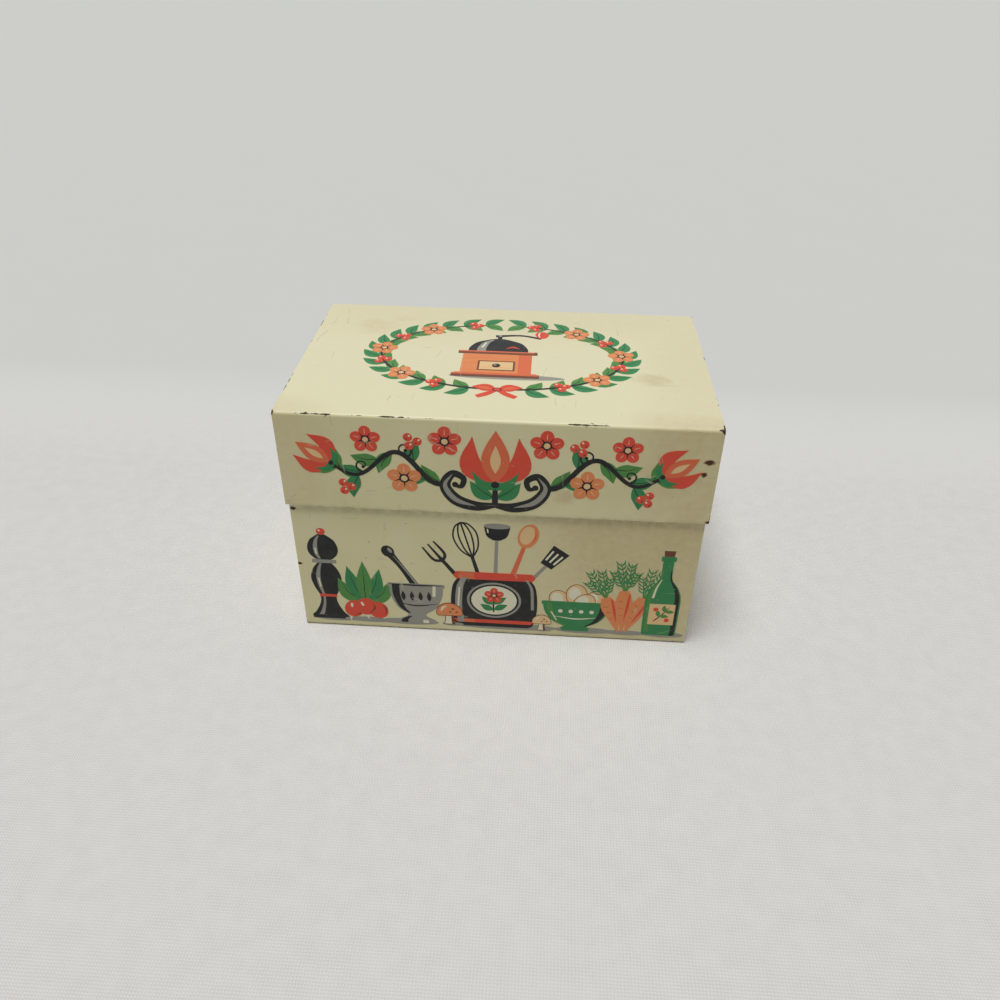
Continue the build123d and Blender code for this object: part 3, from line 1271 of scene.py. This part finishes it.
@dataclass(frozen=True)
class PepperMill(Motif):
    """A tall black pepper mill with turned waists and a red button."""

    height: float = 40.0

    def draw(self, pen: Pen) -> None:
        """Draws it, standing on the pen.

        Args:
            pen: The middle of its foot.
        """
        pen.lay(Ink.GREY, oval(2.5, 0.4, 8.5, 1.3))
        own = pen.at(0, 0, scale=self.height / 40)
        foot = [(6.3, 0), (6.4, 1.6), (5.0, 3.2), (3.2, 7.0), (2.9, 10.5)]
        foot += [(4.5, 14.6), (5.3, 18.6), (4.3, 22.4), (2.6, 25.0)]
        cap = [(3.0, 27.0), (4.7, 29.0), (5.2, 31.6), (4.2, 34.8), (2.0, 36.8), (0.8, 37.6)]
        own.lay(Ink.BLACK, turned(foot), turned([(2.6, 24.4), (2.6, 27.4)]), turned(cap))
        own.lay(Ink.GREY, turned([(4.1, 25.2), (4.2, 26.0), (4.1, 26.7)]))
        own.lay(Ink.GREY, turned(foot[1:], -0.66, -0.38), turned(cap[:5], -0.62, -0.34))
        own.lay(Ink.CREAM, turned(foot[5:7], -0.56, -0.46), turned(cap[1:3], -0.54, -0.44))
        own.lay(Ink.RED, oval(0, 38.6, 1.5, 1.4))
        own.lay(Ink.CREAM, oval(-0.5, 39.0, 0.4, 0.4))
        own.lay(Ink.RED, turned([(3.02, 10.1), (3.1, 11.3)], smooth=False))


@dataclass(frozen=True)
class Radishes(Motif):
    """A bunch of three radishes with their leaves."""

    sprig: Sprig = field(default_factory=Sprig)

    def draw(self, pen: Pen) -> None:
        """Draws it, lying on the pen.

        Args:
            pen: Its middle, on the shelf.
        """
        pen.lay(Ink.GREY, oval(1.5, 0.4, 9.5, 1.2))
        for turn, length, ink in (
            (40, 14.0, Ink.LEAF),
            (-42, 13.5, Ink.LEAF),
            (19, 17.0, Ink.GREEN),
            (-20, 16.4, Ink.GREEN),
            (0, 18.5, Ink.LEAF),
        ):
            self.sprig.leaf(pen.at(0, 8.2, turn), ink, length, 2.7, 0.05 * turn)
        shade = [(2.5, 1.6), (2.9, -0.6), (1.2, -3.1)]
        for u, v, lean in ((-4.2, 5.2, 24), (4.2, 5.0, -26), (0.1, 6.4, 2)):
            own = pen.at(u, v, -lean)
            own.lay(Ink.CREAM, stroke([(0, -2.5), (0.3, -4.6), (1.1, -6.2)], [0.8, 0.35, 0.03], 8))
            own.lay(Ink.RED, oval(0, 0, 3.5, 3.9))
            own.lay(Ink.BROWN, stroke(shade, [0.05, 0.35, 0.05], 8))
            own.lay(Ink.CREAM, oval(-1.4, 1.1, 0.5, 1.0, 25))


@dataclass(frozen=True)
class Mortar(Motif):
    """A grey stone mortar on a foot, with its pestle leaning in it."""

    half_width: float = 9.6

    def draw(self, pen: Pen) -> None:
        """Draws it, standing on the pen.

        Args:
            pen: The middle of its foot.
        """
        own = pen.at(0, 0, scale=self.half_width / 9.6)
        own.lay(Ink.GREY, oval(3, 0.4, 10.5, 1.4))
        own.lay(Ink.BLACK, stroke([(-0.5, 16), (4.6, 25), (8.2, 30.5)], [1.4, 1.0, 1.4], 14))
        own.lay(Ink.GREY, stroke([(-0.9, 17), (4.0, 25), (7.4, 30.0)], [0.35, 0.25, 0.05], 12))
        own.lay(Ink.BLACK, oval(8.9, 31.6, 2.1, 2.5, -32))
        own.lay(Ink.GREY, oval(8.2, 32.1, 0.6, 1.2, -32))
        bowl = [(6.8, 0), (6.4, 1.5), (3.6, 3.0), (3.5, 4.4), (6.8, 7.2), (9.0, 12.5), (9.3, 17.4)]
        own.lay(Ink.GREY, turned(bowl), turned([(9.7, 16.4), (10.0, 17.2), (9.7, 18.0)]))
        own.lay(Ink.BLACK, turned(bowl[3:], 0.62, 0.9), turned(bowl[:3], 0.5, 0.85))
        own.lay(Ink.CREAM, turned(bowl[5:], -0.74, -0.62), turned(bowl[:2], -0.6, -0.3))
        own.lay(Ink.BLACK, stroke([(-9.2, 17.5), (0, 17.3), (9.2, 17.5)], [0.1, 0.36, 0.1], 8))
        own.lay(Ink.BLACK, stroke([(-7.4, 9.2), (0, 8.0), (6.6, 9.2)], [0.05, 0.3, 0.05], 10))
        for u in (-4.6, -1.6, 1.4, 4.4):
            own.lay(Ink.BLACK, leaf((u, 10.2), (u + 0.3, 14.6), 0.75))


@dataclass(frozen=True)
class UtensilCrock(Motif):
    """A black crock of cooking tools: a whisk, spoons, a slotted turner and a fork."""

    half_width: float = 15.0
    height: float = 24.5
    sprig: Sprig = field(default_factory=Sprig)

    def tools(self, pen: Pen) -> None:
        """Draws the tools that stand in it.

        Args:
            pen: The middle of the crock's foot.
        """
        whisk = pen.at(-4.0, 18, 15)
        whisk.lay(Ink.BLACK, stroke([(0, 0), (0, 14)], [0.75, 0.6], 4))
        for reach in (4.0, 2.1):
            for side in (-1, 1):
                out = side * reach
                wire = [(0, 13), (out * 0.75, 17), (out, 22.5), (out * 0.6, 26.6), (0, 28)]
                whisk.lay(Ink.BLACK, stroke(wire, [0.3, 0.28, 0.28], 18))
        whisk.lay(Ink.BLACK, stroke([(0, 13), (0, 27.8)], [0.3, 0.28], 4))
        spoon = pen.at(4.4, 17.5, -16)
        spoon.lay(Ink.BRICK, stroke([(0, 0), (0, 20)], [1.0, 0.7], 4))
        spoon.lay(Ink.ORANGE, oval(0, 24, 3.4, 5.0))
        spoon.lay(Ink.PEACH, oval(-0.4, 24.2, 2.3, 3.8))
        spoon.lay(Ink.BRICK, stroke([(1.6, 21.5), (2.4, 24.2), (1.5, 27.2)], [0.05, 0.3, 0.05], 8))
        turner = pen.at(9.6, 18, -36)
        turner.lay(Ink.GREY, stroke([(0, 0), (0, 13.5)], [0.7, 0.6], 4))
        turner.lay(Ink.BLACK, turned([(2.3, 13), (3.3, 21.5)], smooth=False))
        for u in (-1.6, 0.0, 1.6):
            turner.lay(Ink.CREAM, stroke([(u, 15), (u * 1.2, 19.6)], [0.35, 0.35], 4))
        fork = pen.at(-9.6, 18, 36)
        fork.lay(Ink.BLACK, stroke([(0, 0), (0, 15)], [0.8, 0.6], 4))
        for u in (-2.3, 0.0, 2.3):
            fork.lay(Ink.BLACK, stroke([(0, 13.2), (u, 15.4), (u, 21.6)], [0.5, 0.5, 0.25], 12))
        ladle = pen.at(0.3, 18.5, -1)
        ladle.lay(Ink.GREY, stroke([(0, 0), (0, 21)], [0.7, 0.55], 4))
        ladle.lay(Ink.BLACK, turned([(1.2, 19.8), (3.4, 21.6), (4.4, 25.6)]))
        ladle.lay(Ink.GREY, oval(0, 25.6, 4.4, 1.1))
        ladle.lay(Ink.CREAM, stroke([(-2.9, 22.8), (-3.2, 24.4)], [0.25, 0.2], 4))

    def draw(self, pen: Pen) -> None:
        """Draws it, standing on the pen.

        Args:
            pen: The middle of its foot.
        """
        pen.lay(Ink.GREY, oval(4.0, 0.4, self.half_width + 3.5, 1.6))
        self.tools(pen)
        w, h = self.half_width, self.height
        jar = [(0.80 * w, 0), (0.92 * w, 1.6), (w, 0.35 * h)]
        jar += [(0.96 * w, 0.72 * h), (0.82 * w, 0.90 * h)]
        lip = [(0.86 * w, 0.87 * h), (0.93 * w, 0.93 * h), (0.86 * w, h)]
        hoop = [(0.86 * w, 1.6), (0.95 * w, 3.2)]
        pen.lay(Ink.BLACK, turned(jar))
        pen.lay(Ink.RED, turned(lip), turned(hoop, smooth=False))
        pen.lay(Ink.BRICK, turned(lip, -0.9, -0.5), turned(hoop, -0.9, -0.5, False))
        pen.lay(Ink.GREY, turned(jar[1:], -0.90, -0.74), turned(jar[2:], 0.86, 0.93))
        pen.lay(Ink.CREAM, turned(jar[2:4], -0.85, -0.81))
        for ink, inset in ((Ink.GREY, 0.0), (Ink.BLACK, 0.8), (Ink.CREAM, 1.5)):
            pen.lay(ink, oval(0, 0.5 * h, 9.4 - inset, 8.0 - inset))
        stem = pen.at(0, 0.5 * h - 5.4)
        stem.lay(Ink.BLACK, stroke([(0, 0), (-0.2, 3.2), (0.1, 6.2)], [0.25, 0.3, 0.25], 8))
        for v, turn in ((1.0, 62), (1.0, -62), (3.6, 52), (3.6, -52)):
            stem.at(0, v, turn).lay(Ink.GREEN, leaf((0, 0), (0, 5.4), 1.3, 0.2))
        self.sprig.flower(stem.at(0, 7.6), Ink.RED, Ink.PEACH, 3.4)


@dataclass(frozen=True)
class EggBowl(Motif):
    """A green bowl of eggs."""

    half_width: float = 11.8

    def draw(self, pen: Pen) -> None:
        """Draws it, standing on the pen.

        Args:
            pen: The middle of its foot.
        """
        own = pen.at(0, 0, scale=self.half_width / 11.8)
        own.lay(Ink.GREY, oval(3, 0.4, 10.5, 1.4))
        for u, v, half, tall, lean in (
            (-6.0, 14.0, 3.3, 4.2, 22),
            (5.8, 14.2, 3.3, 4.2, -24),
            (-0.2, 16.4, 3.5, 4.6, 3),
            (2.6, 13.2, 3.3, 4.0, -40),
        ):
            own.lay(Ink.BROWN, oval(u, v, half + 0.25, tall + 0.25, lean))
            own.lay(Ink.PEACH, oval(u, v, half, tall, lean))
            own.lay(Ink.CREAM, oval(u - 0.7, v + 0.7, 0.6 * half, 0.62 * tall, lean))
        bowl = [(4.6, 0), (5.0, 1.4), (4.2, 2.2), (8.2, 4.6), (10.8, 8.6), (11.6, 12.6)]
        own.lay(Ink.GREEN, turned(bowl), turned([(11.8, 11.8), (12.1, 12.6), (11.8, 13.4)]))
        own.lay(Ink.BLACK, turned(bowl[2:], 0.72, 0.93))
        own.lay(Ink.LEAF, turned(bowl[2:], -0.9, -0.72))
        own.lay(Ink.CREAM, turned(bowl[3:5], -0.82, -0.77))
        for u in (-5.4, -1.8, 1.8, 5.4):
            own.lay(Ink.CREAM, oval(u, 9.0, 0.8, 0.8))
        own.lay(Ink.CREAM, stroke([(-7.6, 6.6), (0, 5.6), (7.0, 6.5)], [0.05, 0.28, 0.05], 10))


@dataclass(frozen=True)
class Carrots(Motif):
    """Three carrots leaning together with feathery tops."""

    def draw(self, pen: Pen) -> None:
        """Draws them, with their tips on the pen.

        Args:
            pen: Where the tips meet.
        """
        pen.lay(Ink.GREY, oval(1.5, 0.3, 7.5, 1.1))
        for turn, foot, length in ((19, -1.0, 16.5), (-18, 1.2, 17.0), (1, 0.1, 19.0)):
            own = pen.at(foot, 0.4, turn)
            for lean, rise in ((24, 10.0), (-24, 9.6), (9, 13.0), (-8, 12.4)):
                top = own.at(0, length - 0.6, lean)
                stalk = [(0, 0), (0.3, rise * 0.5), (0, rise)]
                top.lay(Ink.LEAF, stroke(stalk, [0.28, 0.22, 0.1], 6))
                for share in (0.4, 0.55, 0.7, 0.85, 0.98):
                    v = rise * share
                    for side in (-1, 1):
                        tuft = [(0, v - 1.2), (side * 1.1, v - 0.2), (side * 1.5, v + 1.1)]
                        top.lay(Ink.GREEN, stroke(tuft, [0.18, 0.26, 0.05], 6))
            root = [(0, 0), (0.2, length * 0.5), (0, length)]
            own.lay(Ink.ORANGE, stroke(root, [0.1, 1.3, 2.3, 2.9, 1.6], 18))
            shade = [(0.5, length * 0.3), (1.3, length * 0.6), (1.9, length * 0.93)]
            own.lay(Ink.RED, stroke(shade, [0.1, 0.5, 0.3], 10))
            for share, reach in ((0.42, 1.0), (0.6, 1.3), (0.76, 1.5)):
                ring = [(-reach, length * share), (-0.1, length * share - 0.3)]
                own.lay(Ink.BROWN, stroke(ring, [0.12, 0.03], 4))


@dataclass(frozen=True)
class OilBottle(Motif):
    """A green glass bottle with a cork and a small leaf label."""

    height: float = 38.0

    def draw(self, pen: Pen) -> None:
        """Draws it, standing on the pen.

        Args:
            pen: The middle of its foot.
        """
        pen.lay(Ink.GREY, oval(1.6, 0.4, 7.2, 1.3))
        own = pen.at(0, 0, scale=self.height / 38)
        own.lay(Ink.BROWN, turned([(1.5, 34.0), (1.9, 37.4)], smooth=False))
        glass = [(5.3, 0), (5.9, 1.2), (6.0, 9.0), (5.9, 17.0)]
        glass += [(4.6, 21.4), (2.2, 25.2), (1.8, 29.0), (1.8, 33.0)]
        own.lay(Ink.GREEN, turned(glass), turned([(2.3, 33.0), (2.5, 34.0), (2.3, 35.0)]))
        own.lay(Ink.BLACK, turned(glass[:7], 0.66, 0.92))
        own.lay(Ink.LEAF, turned(glass[1:7], -0.86, -0.62))
        own.lay(Ink.CREAM, turned(glass[3:6], -0.66, -0.52))
        own.lay(Ink.PEACH, panel([(-4.2, 5.0), (-4.2, 14.4)], [(4.6, 5.0), (4.6, 14.4)]))
        own.lay(Ink.BLACK, stroke([(-2.2, 6.6), (0.2, 9.4), (2.6, 13.0)], [0.2, 0.2, 0.1], 8))
        for u, v, turn in ((-0.6, 8.6, 12), (-0.4, 8.9, -92), (1.2, 10.8, 6), (1.3, 10.9, -88)):
            own.at(u, v, turn).lay(Ink.LEAF, leaf((0, 0), (0, 3.2), 0.8, 0.1))
        own.lay(Ink.RED, oval(-1.9, 11.9, 0.9, 0.9), oval(2.2, 7.2, 0.9, 0.9))


@dataclass(frozen=True)
class Mushroom(Motif):
    """A round-capped mushroom."""

    half_cap: float = 4.4
    cap: Ink = Ink.PEACH

    def draw(self, pen: Pen) -> None:
        """Draws it, standing on the pen.

        Args:
            pen: The middle of its foot.
        """
        own = pen.at(0, 0, scale=self.half_cap / 4.4)
        own.lay(Ink.GREY, oval(1.2, 0.3, 3.8, 0.8))
        own.lay(Ink.BROWN, turned([(2.1, 0), (1.6, 2.4), (1.6, 5.0)]))
        own.lay(Ink.CREAM, turned([(1.8, 0.3), (1.3, 2.4), (1.3, 5.0)], -1.0, 0.5))
        dome = [(3.9, 4.3), (4.5, 5.2), (3.9, 7.6), (2.2, 9.2), (0.3, 9.8)]
        own.lay(Ink.BROWN, turned([(4.0, 4.0), (4.75, 5.2), (4.15, 7.8), (2.3, 9.5), (0.2, 10.1)]))
        own.lay(self.cap, turned(dome))
        own.lay(Ink.CREAM, stroke([(-3.0, 6.0), (-2.3, 7.7), (-0.9, 8.7)], [0.1, 0.45, 0.1], 8))
        own.lay(Ink.BROWN, oval(1.2, 7.3, 0.5, 0.4))
        own.lay(Ink.BROWN, *(oval(u, 5.9, 0.4, 0.35) for u in (2.5, 0.2)))


@dataclass(frozen=True)
class PrintShop:
    """Prints the designs on the tin's faces, each placed by its face's own middle."""

    sizes: TinSizes
    baseline: float = 3.2

    def lid_top(self) -> LithoPrint:
        """Draws a coffee mill in a wreath.

        Returns:
            The print on the lid's top.
        """
        s = self.sizes
        face = Face((0.0, (s.lid_front + s.back) / 2, s.top), (1, 0, 0), (0, 1, 0), "lid")
        design = LithoPrint("lid_top_print", face)
        pen = Pen(design).at(-1, 2.0)
        CoffeeMill().draw(pen.at(-1.4, -16.5, scale=1.12))
        Wreath().draw(pen)
        return design

    def lid_front(self) -> LithoPrint:
        """Draws a vine along the skirt.

        Returns:
            The print on the lid's front.
        """
        s = self.sizes
        middle = (s.lid_edge + s.top) / 2 - 0.3 * MM
        face = Face((0.0, s.lid_front, middle), (1, 0, 0), (0, 0, 1), "lid")
        design = LithoPrint("lid_front_print", face)
        Vine().draw(Pen(design))
        return design

    def body_front(self) -> LithoPrint:
        """Draws a row of kitchen things.

        Returns:
            The print on the body's front.
        """
        face = Face((0.0, self.sizes.body_front, 0.0), (1, 0, 0), (0, 0, 1), "box")
        design = LithoPrint("body_front_print", face)
        row = Pen(design).at(0, self.baseline)
        PepperMill().draw(row.at(-58.0, 0))
        Radishes().draw(row.at(-45.0, 0))
        Mortar().draw(row.at(-27.0, 0, mirror=True))
        UtensilCrock().draw(row.at(0, 0))
        Mushroom(4.4, Ink.ORANGE).draw(row.at(-15.6, 0.0))
        EggBowl().draw(row.at(28.5, 0))
        Mushroom(3.2).draw(row.at(16.8, -0.6))
        Carrots().draw(row.at(44.6, 0))
        OilBottle().draw(row.at(57.6, 0))
        return design

    def end_sprig(self, side: int) -> LithoPrint:
        """Draws a small sprig in the middle of one of the body's ends.

        Args:
            side: 1 on the right, -1 on the left.

        Returns:
            The print on that end.
        """
        face = Face((side * self.sizes.half_body, 0.0, 0.0), (0, side, 0), (0, 0, 1), "box")
        design = LithoPrint(f"body_end_{'right' if side > 0 else 'left'}_print", face)
        Sprig().tulip(Pen(design).at(0, 26), 12.0)
        stem = Pen(design).at(0, 10)
        stem.lay(Ink.BLACK, stroke([(0, 0), (0.4, 8), (0, 16.4)], [0.5, 0.4, 0.4], 12))
        for v, turn, left, right in ((3, 48, Ink.GREEN, Ink.LEAF), (8, 44, Ink.LEAF, Ink.GREEN)):
            for lean, ink in ((turn, left), (-turn, right)):
                Sprig().leaf(stem.at(0, v, lean), ink, 9.0, 2.2, 0.02 * lean)
        return design

    def print_all(self) -> None:
        """Mixes the inks and prints every design."""
        for ink in Ink:
            LithoInk(ink).material(ink.material_name)
        fronts = (self.lid_top(), self.lid_front(), self.body_front())
        for design in (*fronts, self.end_sprig(1), self.end_sprig(-1)):
            design.build()


# ---------------------------------------------------------------- the tin, the studio, the camera


@dataclass(frozen=True)
class Tin:
    """The tin's own pieces: eight CAD nodes, which keep their shapes and get their finishes.

    The enamel shows inside too on the hems, from hem to past_rim millimetres about a rim.
    """

    sizes: TinSizes
    hem: float = 4.7
    past_rim: float = 0.5

    def body_shell(self) -> Shell:
        """Gives the lower half: grime and painted shade under the lid, darker along its foot.

        Returns:
            The body's shell, with its marks.
        """
        s = self.sizes
        front = s.body_front / MM
        return Shell(
            low=(-s.half_body, s.body_front, 0.0),
            high=(s.half_body, s.back, s.rim),
            hem_low=s.rim - self.hem * MM,
            hem_high=s.rim + self.past_rim * MM,
            # The first band is grime and painted shade under the lid's seam; the second makes the
            # foot darker.
            grime_and_shade=(Band(48.6, 51.8, 55.0), Band(1.6, 0.3, -2.0)),
            rust=(
                Mark((60.9, front, 17.9), (0.7, 2.0, 0.7), 0.9),
                Mark((-66.0, front, 50.8), (0.8, 2.0, 0.5), 0.9),
                Mark((-66.8, front, 27.8), (0.9, 2.0, 0.4), 0.9),
            ),
            # A broad mark that darkens the right of the front: painted shade.
            stains_and_shade=(Mark((56.0, front, 32.0), (36.0, 9.0, 32.0), 1.1),),
        )

    def lid_shell(self) -> Shell:
        """Gives the upper half: stains and painted shade on top, wear along its front bend.

        Returns:
            The lid's shell, with its marks.
        """
        s = self.sizes
        front, top = s.lid_front / MM, s.top / MM
        return Shell(
            low=(-s.half_lid, s.lid_front, s.lid_edge),
            high=(s.half_lid, s.back, s.top),
            hem_low=s.lid_edge - self.past_rim * MM,
            hem_high=s.lid_edge + self.hem * MM,
            # Darker along the lid's foot at the seam: grime and painted shade.
            grime_and_shade=(Band(54.0, 52.3, 51.0),),
            rust=(
                Mark((64.9, front, 75.6), (1.3, 2.0, 0.7), 0.9),
                Mark((63.8, front, 71.2), (0.7, 2.0, 0.7), 0.9),
                Mark((67.9, front, 53.1), (1.3, 3.0, 0.9)),
            ),
            stains_and_shade=(
                Mark((-48.5, 23.1, top), (7.0, 5.0, 8.0), 1.0, 0.7),
                Mark((-38.0, 30.0, top), (4.0, 3.0, 8.0), 1.0, 0.6),
                Mark((49.5, -12.5, top), (5.0, 3.4, 8.0), 1.0, 1.0),
                # These two broad marks darken the back and the right of the top: painted shade.
                Mark((10.0, 43.0, top), (75.0, 18.0, 8.0), 1.5, 0.35),
                Mark((68.0, 5.0, top), (14.0, 40.0, 8.0), 1.3, 0.35),
                Mark((22.0, front, 60.7), (3.2, 3.0, 2.2), 0.9),
                Mark((-68.0, front, 68.0), (13.0, 8.0, 26.0), 1.1, 0.5),
                # A broad mark that darkens the right of the front: painted shade.
                Mark((66.0, front, 72.0), (20.0, 8.0, 26.0), 1.1, 0.8),
            ),
            rubs=(
                Mark((-31.0, front, top), (15.0, 2.0, 2.0)),
                Mark((-55.0, front, top), (6.0, 1.5, 1.5)),
                Mark((28.0, front, top), (8.0, 1.5, 1.5)),
                Mark((68.0, front, top), (1.5, 2.2, 1.5)),
                Mark((-68.0, front, top), (1.2, 1.2, 1.2)),
            ),
        )

    def dress(self) -> None:
        """Gives each CAD node its finish: only the strips, called wraps, have cut ends."""
        finishes = {"hinge_pin": DrawnWire().material("drawn_steel_wire")}
        for half, shell in (("body", self.body_shell()), ("lid", self.lid_shell())):
            for part in ("wrap", "end"):
                name = f"{half}_{part}"
                finish = PrintedTinplate(shell, cut_ends=part == "wrap")
                finishes[name] = finish.material("enamelled_tinplate_" + name)
        for name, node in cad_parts.items():
            finish = next(made for start, made in finishes.items() if name.startswith(start))
            node.data.materials.clear()
            node.data.materials.append(finish)
            log.info("dressed %s in %s", name, finish.name)


@dataclass(frozen=True)
class StudioCloth(Finish):
    """Plain pale cotton sheeting under the tin, paler in front and cooler behind.

    Its threads are 0.5 mm apart, too fine for the picture, so the weave is drawn 0.85 mm apart,
    with painted shade in its hollows. It is uneven, as the threads are, and fades out behind the
    tin, over the fade's distances from the tin's middle. Sizes are in millimetres.
    """

    front: str = "#E1E0DD"
    behind: str = "#CBCCC8"
    # Colour of the painted shade in the weave's hollows.
    hollow_shade: str = "#CBCAC7"
    fade: Ramp = Ramp(60.0, 160.0)
    thread: float = 0.85
    thread_height: float = 0.2
    thread_waver: float = 0.6
    shaded_hollows: Ramp = Ramp(0.3, 0.0)
    slubs: Blotches = Blotches(6.0, 2.0, 0.35, 0.7, 0.65)
    slack: Grain = Grain(70.0, 1.0)
    slack_height: float = 2.0
    roughness: float = 0.9
    unit_wave: float = 0.314

    def look(self, tree: Tree) -> dict:
        """Gives two crossed waves of thread over slow folds, painted shade in their hollows.

        A wave of scale 1 repeats after unit_wave metres.

        Args:
            tree: The material's node tree.

        Returns:
            The inputs of its Principled shader.
        """
        coords = add(tree, "TexCoord", out="Object")
        y = add(tree, "SeparateXYZ", {0: coords}, 1)
        far = add(tree, "MapRange", self.fade.over(y, MM))
        near = add(tree, "Math", {0: 1.0, 1: far}, operation="SUBTRACT")
        scale = self.unit_wave / (self.thread * MM)
        threads = {"Vector": coords, "Scale": scale, "Distortion": self.thread_waver}
        weaves = [add(tree, "TexWave", threads, bands_direction=axis) for axis in ("X", "Y")]
        weave = add(tree, "Math", {0: weaves[0], 1: weaves[1]}, operation="MULTIPLY")
        # Painted shade in the weave's hollows, fading out behind the tin.
        shaded_hollows = add(tree, "MapRange", self.shaded_hollows.over(weave))
        for share in (near, self.slubs.mask(tree, coords)):
            shaded_hollows = add(tree, "Math", {0: shaded_hollows, 1: share}, operation="MULTIPLY")
        folds = add(tree, "TexNoise", self.slack.over(coords))
        soft = add(tree, "Bump", {"Height": folds, "Distance": self.slack_height * MM})
        relief = {"Strength": near, "Height": weave, "Distance": self.thread_height * MM}
        coats = ((far, 1.0, self.behind), (shaded_hollows, 1.0, self.hollow_shade))
        return {
            "Base Color": coated(tree, self.front, *coats),
            "Roughness": self.roughness,
            "Normal": add(tree, "Bump", {**relief, "Normal": soft}),
        }


@dataclass(frozen=True)
class Studio:
    """A cloth-covered table under one wide soft lamp and an even room.

    Lengths are in metres and angles in degrees. The lamp is turned by its tilt about X and Y.
    """

    cloth: StudioCloth = field(default_factory=StudioCloth)
    table_size: float = 8.0
    lamp_strength: float = 2.80
    lamp_width: float = 26.0
    lamp_tilt: tuple[float, float] = (8.0, -6.5)
    room: float = 0.11
    seen_room: float = 0.6

    def table(self) -> None:
        """Lays the flat table top, a square centred under the tin."""
        half = self.table_size / 2
        corners = [(-half, -half, 0), (half, -half, 0), (half, half, 0), (-half, half, 0)]
        mesh = bpy.data.meshes.new("table_cloth")
        mesh.from_pydata(corners, [], [(0, 1, 2, 3)])
        mesh.materials.append(self.cloth.material("plain_cotton_sheeting"))
        table = bpy.data.objects.new("table_cloth", mesh)
        bpy.context.scene.collection.objects.link(table)
        log.info("laid %s, %.1f m across", table.name, self.table_size)

    def lamp(self) -> None:
        """Hangs a wide soft lamp above the tin, a little to the left and in front."""
        data = bpy.data.lights.new("soft_lamp", "SUN")
        data.energy = self.lamp_strength
        data.angle = math.radians(self.lamp_width)
        lamp = bpy.data.objects.new("soft_lamp", data)
        lamp.rotation_euler = (*map(math.radians, self.lamp_tilt), 0)
        bpy.context.scene.collection.objects.link(lamp)

    def walls(self) -> None:
        """Sets the room: dim where it lights the tin, paler where it is seen or mirrored."""
        world = bpy.data.worlds.new("room")
        world.use_nodes = True
        tree = world.node_tree
        tree.nodes.clear()
        seen, mirrored, passed = (
            add(tree, "LightPath", out=ray)
            for ray in ("Is Camera Ray", "Is Glossy Ray", "Is Transmission Ray")
        )
        shown = add(tree, "Math", {0: seen, 1: mirrored}, operation="MAXIMUM")
        shown = add(tree, "Math", {0: shown, 1: passed}, operation="MAXIMUM")
        lighting, backdrop = (
            add(tree, "Background", {"Color": "#FFFFFF", "Strength": strength})
            for strength in (self.room, self.seen_room)
        )
        mixed = add(tree, "MixShader", {0: shown, 1: lighting, 2: backdrop})
        add(tree, "OutputWorld", {"Surface": mixed})
        bpy.context.scene.world = world

    def build(self) -> None:
        """Builds the table, the lamp and the room."""
        self.table()
        self.lamp()
        self.walls()
        bpy.context.scene.view_settings.view_transform = "Standard"


@dataclass(frozen=True)
class PhotoCamera:
    """The photograph's camera, from a perspective fit to the tin's corners.

    The place is in metres, and the lens and the sensor in millimetres. Right, down and forward
    are its directions, of length 1.
    """

    location: Point3 = (0.013638, -0.267831, 0.214366)
    right: Point3 = (0.99797, 0.06242, 0.01270)
    down: Point3 = (0.04601, -0.56845, -0.82143)
    forward: Point3 = (-0.04406, 0.82035, -0.57017)
    lens: float = 31.09
    sensor: float = 36.0
    nearest: float = 0.01

    def build(self) -> None:
        """Places the camera: its X is right, its Y is up and its Z is backwards."""
        camera = bpy.data.objects.new("photo_camera", bpy.data.cameras.new("photo_camera"))
        camera.data.lens = self.lens
        camera.data.sensor_width = self.sensor
        camera.data.clip_start = self.nearest
        placed = np.eye(4)
        placed[:3, 0] = self.right
        placed[:3, 1] = -np.array(self.down)
        placed[:3, 2] = -np.array(self.forward)
        placed[:3, 3] = self.location
        camera.matrix_world = Matrix(placed.tolist())
        bpy.context.scene.collection.objects.link(camera)
        bpy.context.scene.camera = camera
        log.info("placed %s with a %.2f mm lens", camera.name, self.lens)


def main() -> None:
    """Dresses the tin, prints its decoration and sets the scene."""
    logging.basicConfig(level=logging.INFO, format="%(name)s: %(message)s")
    sizes = TinSizes.from_frame()
    PhotoCamera().build()
    Studio().build()
    Tin(sizes).dress()
    PrintShop(sizes).print_all()


if __name__ == "__main__":
    main()
